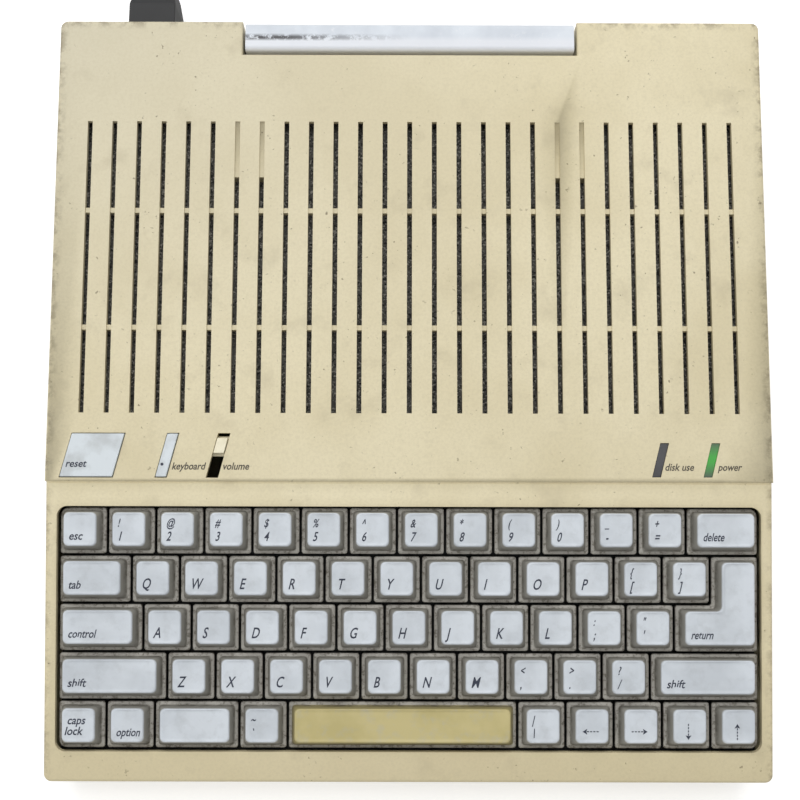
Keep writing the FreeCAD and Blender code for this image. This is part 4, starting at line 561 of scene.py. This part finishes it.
def flat_mesh(name, shapes):
    """Flat mesh of outlines that are given in millimetres."""
    mesh = bpy.data.meshes.new(name)
    form = bmesh.new()
    for shape in shapes:
        form.faces.new([form.verts.new((x * MM, y * MM, 0)) for x, y in shape])
    form.to_mesh(mesh)
    form.free()
    return mesh


def arrow(turn):
    """Small arrow with a dashed tail, turned from pointing right."""
    dashes = [[(start, -DASH_HALF), (start + DASH_LENGTH, -DASH_HALF),
               (start + DASH_LENGTH, DASH_HALF), (start, DASH_HALF)] for start in DASH_STARTS]
    mesh = flat_mesh("arrow", dashes + [SHAFT, ARROW_HEAD])
    mesh.transform(Matrix.Rotation(turn, 4, "Z"))
    return mesh


INK_LIFT = 0.05
LEGEND_LEFT = -4.4
LEGEND_LOW = -3.1


def add_legend(form, mesh, units, place, left=LEGEND_LEFT, low=LEGEND_LOW):
    """Flat legend laid over a keycap's top, placed from the middle of a one-unit cap at its left."""
    half = half_top(units)
    shift = half - half_top(1)
    mesh.transform(Matrix.Translation(Vector((left - shift, low, 0)) * MM))
    first_vert = len(form.verts)
    first_face = len(form.faces)
    form.from_mesh(mesh)
    form.verts.ensure_lookup_table()
    form.faces.ensure_lookup_table()
    for vert in form.verts[first_vert:]:
        spot = vert.co / MM
        vert.co = place @ (Vector((spot.x, spot.y, top_height(spot.x, half) + INK_LIFT)) * MM)
    for face in form.faces[first_face:]:
        face.material_index = 1


LETTER = 4.3
DIGIT = 3.7
SIGN = 3.3
WORD = 3.3
SIGN_LOW = 2.0
DIGIT_LOW = -3.4
TWO_LINES_LOW = 1.5
ARROW_LEFT = -0.6
ARROW_LOW = -1.0
WORD_WIDTHS = {"esc": 5.2, "tab": 4.7, "control": 10.6, "shift": 7.1, "option": 9.2,
               "caps\nlock": 7.0, "delete": 8.3, "return": 8.6}
ARROWS = {"arrow_left": math.pi, "arrow_right": 0.0, "arrow_down": -math.pi / 2,
          "arrow_up": math.pi / 2}


def add_key_print(form, name, text, units, place):
    """What is printed on a keycap: a word, one letter, a pair of signs or an arrow."""
    if name in ARROWS:
        add_legend(form, arrow(ARROWS[name]), units, place, ARROW_LEFT, ARROW_LOW)
    elif len(text) == 2:
        add_legend(form, lettering(text[0], SIGN), units, place, low=SIGN_LOW)
        add_legend(form, lettering(text[1], DIGIT), units, place, low=DIGIT_LOW)
    elif len(text) == 1:
        add_legend(form, lettering(text, LETTER), units, place)
    elif text:
        low = TWO_LINES_LOW if "\n" in text else LEGEND_LOW
        add_legend(form, lettering(text, WORD, width=WORD_WIDTHS[text]), units, place, low=low)


ROWS = [
    [("escape", 1, "esc"), *((f"column_{min(n + 1, 11)}", 1, pair) for n, pair in enumerate(
        ("!1", "@2", "#3", "$4", "%5", "^6", "&7", "*8", "(9", ")0", "_-", "+="))),
     ("delete", 1.5, "delete")],
    [("tab", 1.5, "tab"), *((f"column_{min(n + 1, 11)}", 1, pair) for n, pair in enumerate(
        ("Q", "W", "E", "R", "T", "Y", "U", "I", "O", "P", "{[", "}]"))), ("gap", 1, "")],
    [("control", 1.75, "control"), *((f"column_{n + 1}", 1, pair) for n, pair in enumerate(
        ("A", "S", "D", "F", "G", "H", "J", "K", "L", ":;", "\"'"))), ("return", 1.75, "return")],
    [("shift_left", 2.25, "shift"), *((f"column_{n + 1}", 1, pair) for n, pair in enumerate(
        ("Z", "X", "C", "V", "B", "N", "M", "<,", ">.", "?/"))), ("shift_right", 2.25, "shift")],
    [("caps_lock", 1, "caps\nlock"), ("option", 1, "option"), ("command", 1.75, ""),
     ("tilde", 1, "~`"), ("space_bar", 4.75, ""), ("backslash", 1, "|\\"),
     ("arrow_left", 1, ""), ("arrow_right", 1, ""), ("arrow_down", 1, ""), ("arrow_up", 1, "")],
]
OUTER_CORNERS = {"escape": (3,), "delete": (2,), "caps_lock": (0,), "arrow_up": (1,)}


def make_keys():
    """Every keycap with its legend, gathered into one piece for each node."""
    forms = {}
    for row, keys in enumerate(ROWS):
        left = 0.0
        for name, units, text in keys:
            x = (left + units / 2) * KEY_PITCH - KEY_FIELD / 2
            left += units
            if name == "gap":
                continue
            along = FIRST_ROW + (row + 0.5) * KEY_PITCH
            place = keyboard_plane @ Matrix.Translation(Vector((x, -along, 0)) * MM)
            form = forms.setdefault(f"key_{name}", bmesh.new())
            add_keycap(form, units, place, name == "return", OUTER_CORNERS.get(name, ()))
            add_key_print(form, name, text, units, place)
    for node, form in forms.items():
        mesh = bpy.data.meshes.new(node)
        form.to_mesh(mesh)
        form.free()
        mesh.materials.append(MATERIALS[slot_of[node]])
        mesh.materials.append(INK)
        put(f"{node}_cap", mesh, body_of[node], slot_of[node], node)


# Words beside the controls


DECK_LIFT = 0.06
CASE_WORDS = [("keyboard", -93.6, -31.9, 13.0), ("volume", -73.6, -31.9, 10.4),
              ("disk use", 100.6, -31.9, 11.4), ("power", 121.6, -31.9, 9.2)]
WORD_HEIGHT = 2.9
RESET_WIDTH = 8.2
RESET_PLACE = (-135.3, -31.0)
SPOT_RADIUS = 0.6
SPOT_SIDES = 20
SPOT_PLACE = (-97.2, -29.9)


def print_on_deck(name, mesh, node, look, x, y):
    """Flat print on a node's top, square to the deck, with its left foot at x and y."""
    rise = 0
    if node != "top_case":
        flat = deck_plane.inverted()
        rise = max((flat @ vert.co).z for vert in nodes[node].data.vertices)
    up = (y * MM - FOLD.y) / math.cos(DECK_SLOPE)
    mesh.transform(deck_plane @ Matrix.Translation((x * MM, up, rise + DECK_LIFT * MM)))
    mesh.materials.clear()
    mesh.materials.append(look)
    return put(name, mesh, body_of[node], slot_of[node])


def print_controls():
    """Words on the case and on the reset button, and the spot on the keyboard switch."""
    for text, x, y, width in CASE_WORDS:
        print_on_deck(f"word_{text.replace(' ', '_')}", lettering(text, WORD_HEIGHT, width),
                      "top_case", CASE_INK, x, y)
    print_on_deck("word_reset", lettering("reset", WORD_HEIGHT, RESET_WIDTH), "reset_button", INK,
                  *RESET_PLACE)
    turns = [step / SPOT_SIDES * 2 * math.pi for step in range(SPOT_SIDES)]
    spot = [(SPOT_RADIUS * math.cos(turn), SPOT_RADIUS * math.sin(turn)) for turn in turns]
    print_on_deck("switch_spot", flat_mesh("spot", [spot]), "keyboard_switch", INK, *SPOT_PLACE)


# Floor and light


TABLE_SIZE = 3.0
TABLE_GLOW = 0.35
AMBIENT = 0.55
LIGHTS = (("overhead", (0.0, 0.60, 1.1), (-0.45, 0, 0), 1.2, 10.5),
          ("side", (-1.2, -0.5, 1.0), (0.5, -0.85, 0), 1.0, 4.0))


def make_studio():
    """White table and soft overhead light, with a white surround for the camera."""
    mesh = bpy.data.meshes.new("table")
    form = bmesh.new()
    bmesh.ops.create_grid(form, x_segments=1, y_segments=1, size=TABLE_SIZE)
    form.to_mesh(mesh)
    form.free()
    material = bpy.data.materials.new("white_table")
    material.use_nodes = True
    tree = material.node_tree
    shader = tree.nodes["Principled BSDF"]
    shader.inputs["Base Color"].default_value = colour("#F4F4F4")
    shader.inputs["Roughness"].default_value = 0.9
    shader.inputs["Emission Color"].default_value = colour("#FFFFFF")
    seen = add(tree, "ShaderNodeLightPath")["Is Camera Ray"]
    lift = add(tree, "ShaderNodeMath", {0: seen, 1: TABLE_GLOW}, operation="MULTIPLY")["Value"]
    tree.links.new(lift, shader.inputs["Emission Strength"])
    mesh.materials.append(material)
    table = bpy.data.objects.new("table", mesh)
    table.location = (0, 0, -0.0005)
    bpy.context.scene.collection.objects.link(table)
    for name, place, turn, size, power in LIGHTS:
        light = bpy.data.lights.new(name, "AREA")
        light.shape = "SQUARE"
        light.size = size
        light.energy = power
        lamp = bpy.data.objects.new(name, light)
        lamp.location = place
        lamp.rotation_euler = turn
        bpy.context.scene.collection.objects.link(lamp)
    world = bpy.data.worlds.new("surround")
    world.use_nodes = True
    tree = world.node_tree
    background = tree.nodes["Background"]
    background.inputs["Color"].default_value = colour("#FFFFFF")
    paths = add(tree, "ShaderNodeLightPath")
    glossy = add(tree, "ShaderNodeMath", {0: paths["Is Camera Ray"], 1: paths["Is Glossy Ray"]},
                 operation="MAXIMUM")["Value"]
    clear = add(tree, "ShaderNodeMath", {0: glossy, 1: paths["Is Transmission Ray"]},
                operation="MAXIMUM")["Value"]
    strength = add(tree, "ShaderNodeMapRange", {"Value": clear, "To Min": AMBIENT, "To Max": 1.0})
    tree.links.new(strength["Result"], background.inputs["Strength"])
    bpy.context.scene.world = world
    bpy.context.scene.view_settings.view_transform = "Standard"


make_studio()
mains_cord = wind_cord()
dress("top_case")
dress("bottom_case")
dress("carry_handle", HANDLE_EDGE)
for node in ("reset_button", "keyboard_switch", "volume_knob", "disk_use_lens", "power_lens",
             "cord_connector", "mains_plug"):
    dress(node, CONTROL_EDGE)
make_keys()
print_controls()


def corners(pair):
    return [list(map(float, corner)) for corner in pair]


bpy.context.view_layer.update()
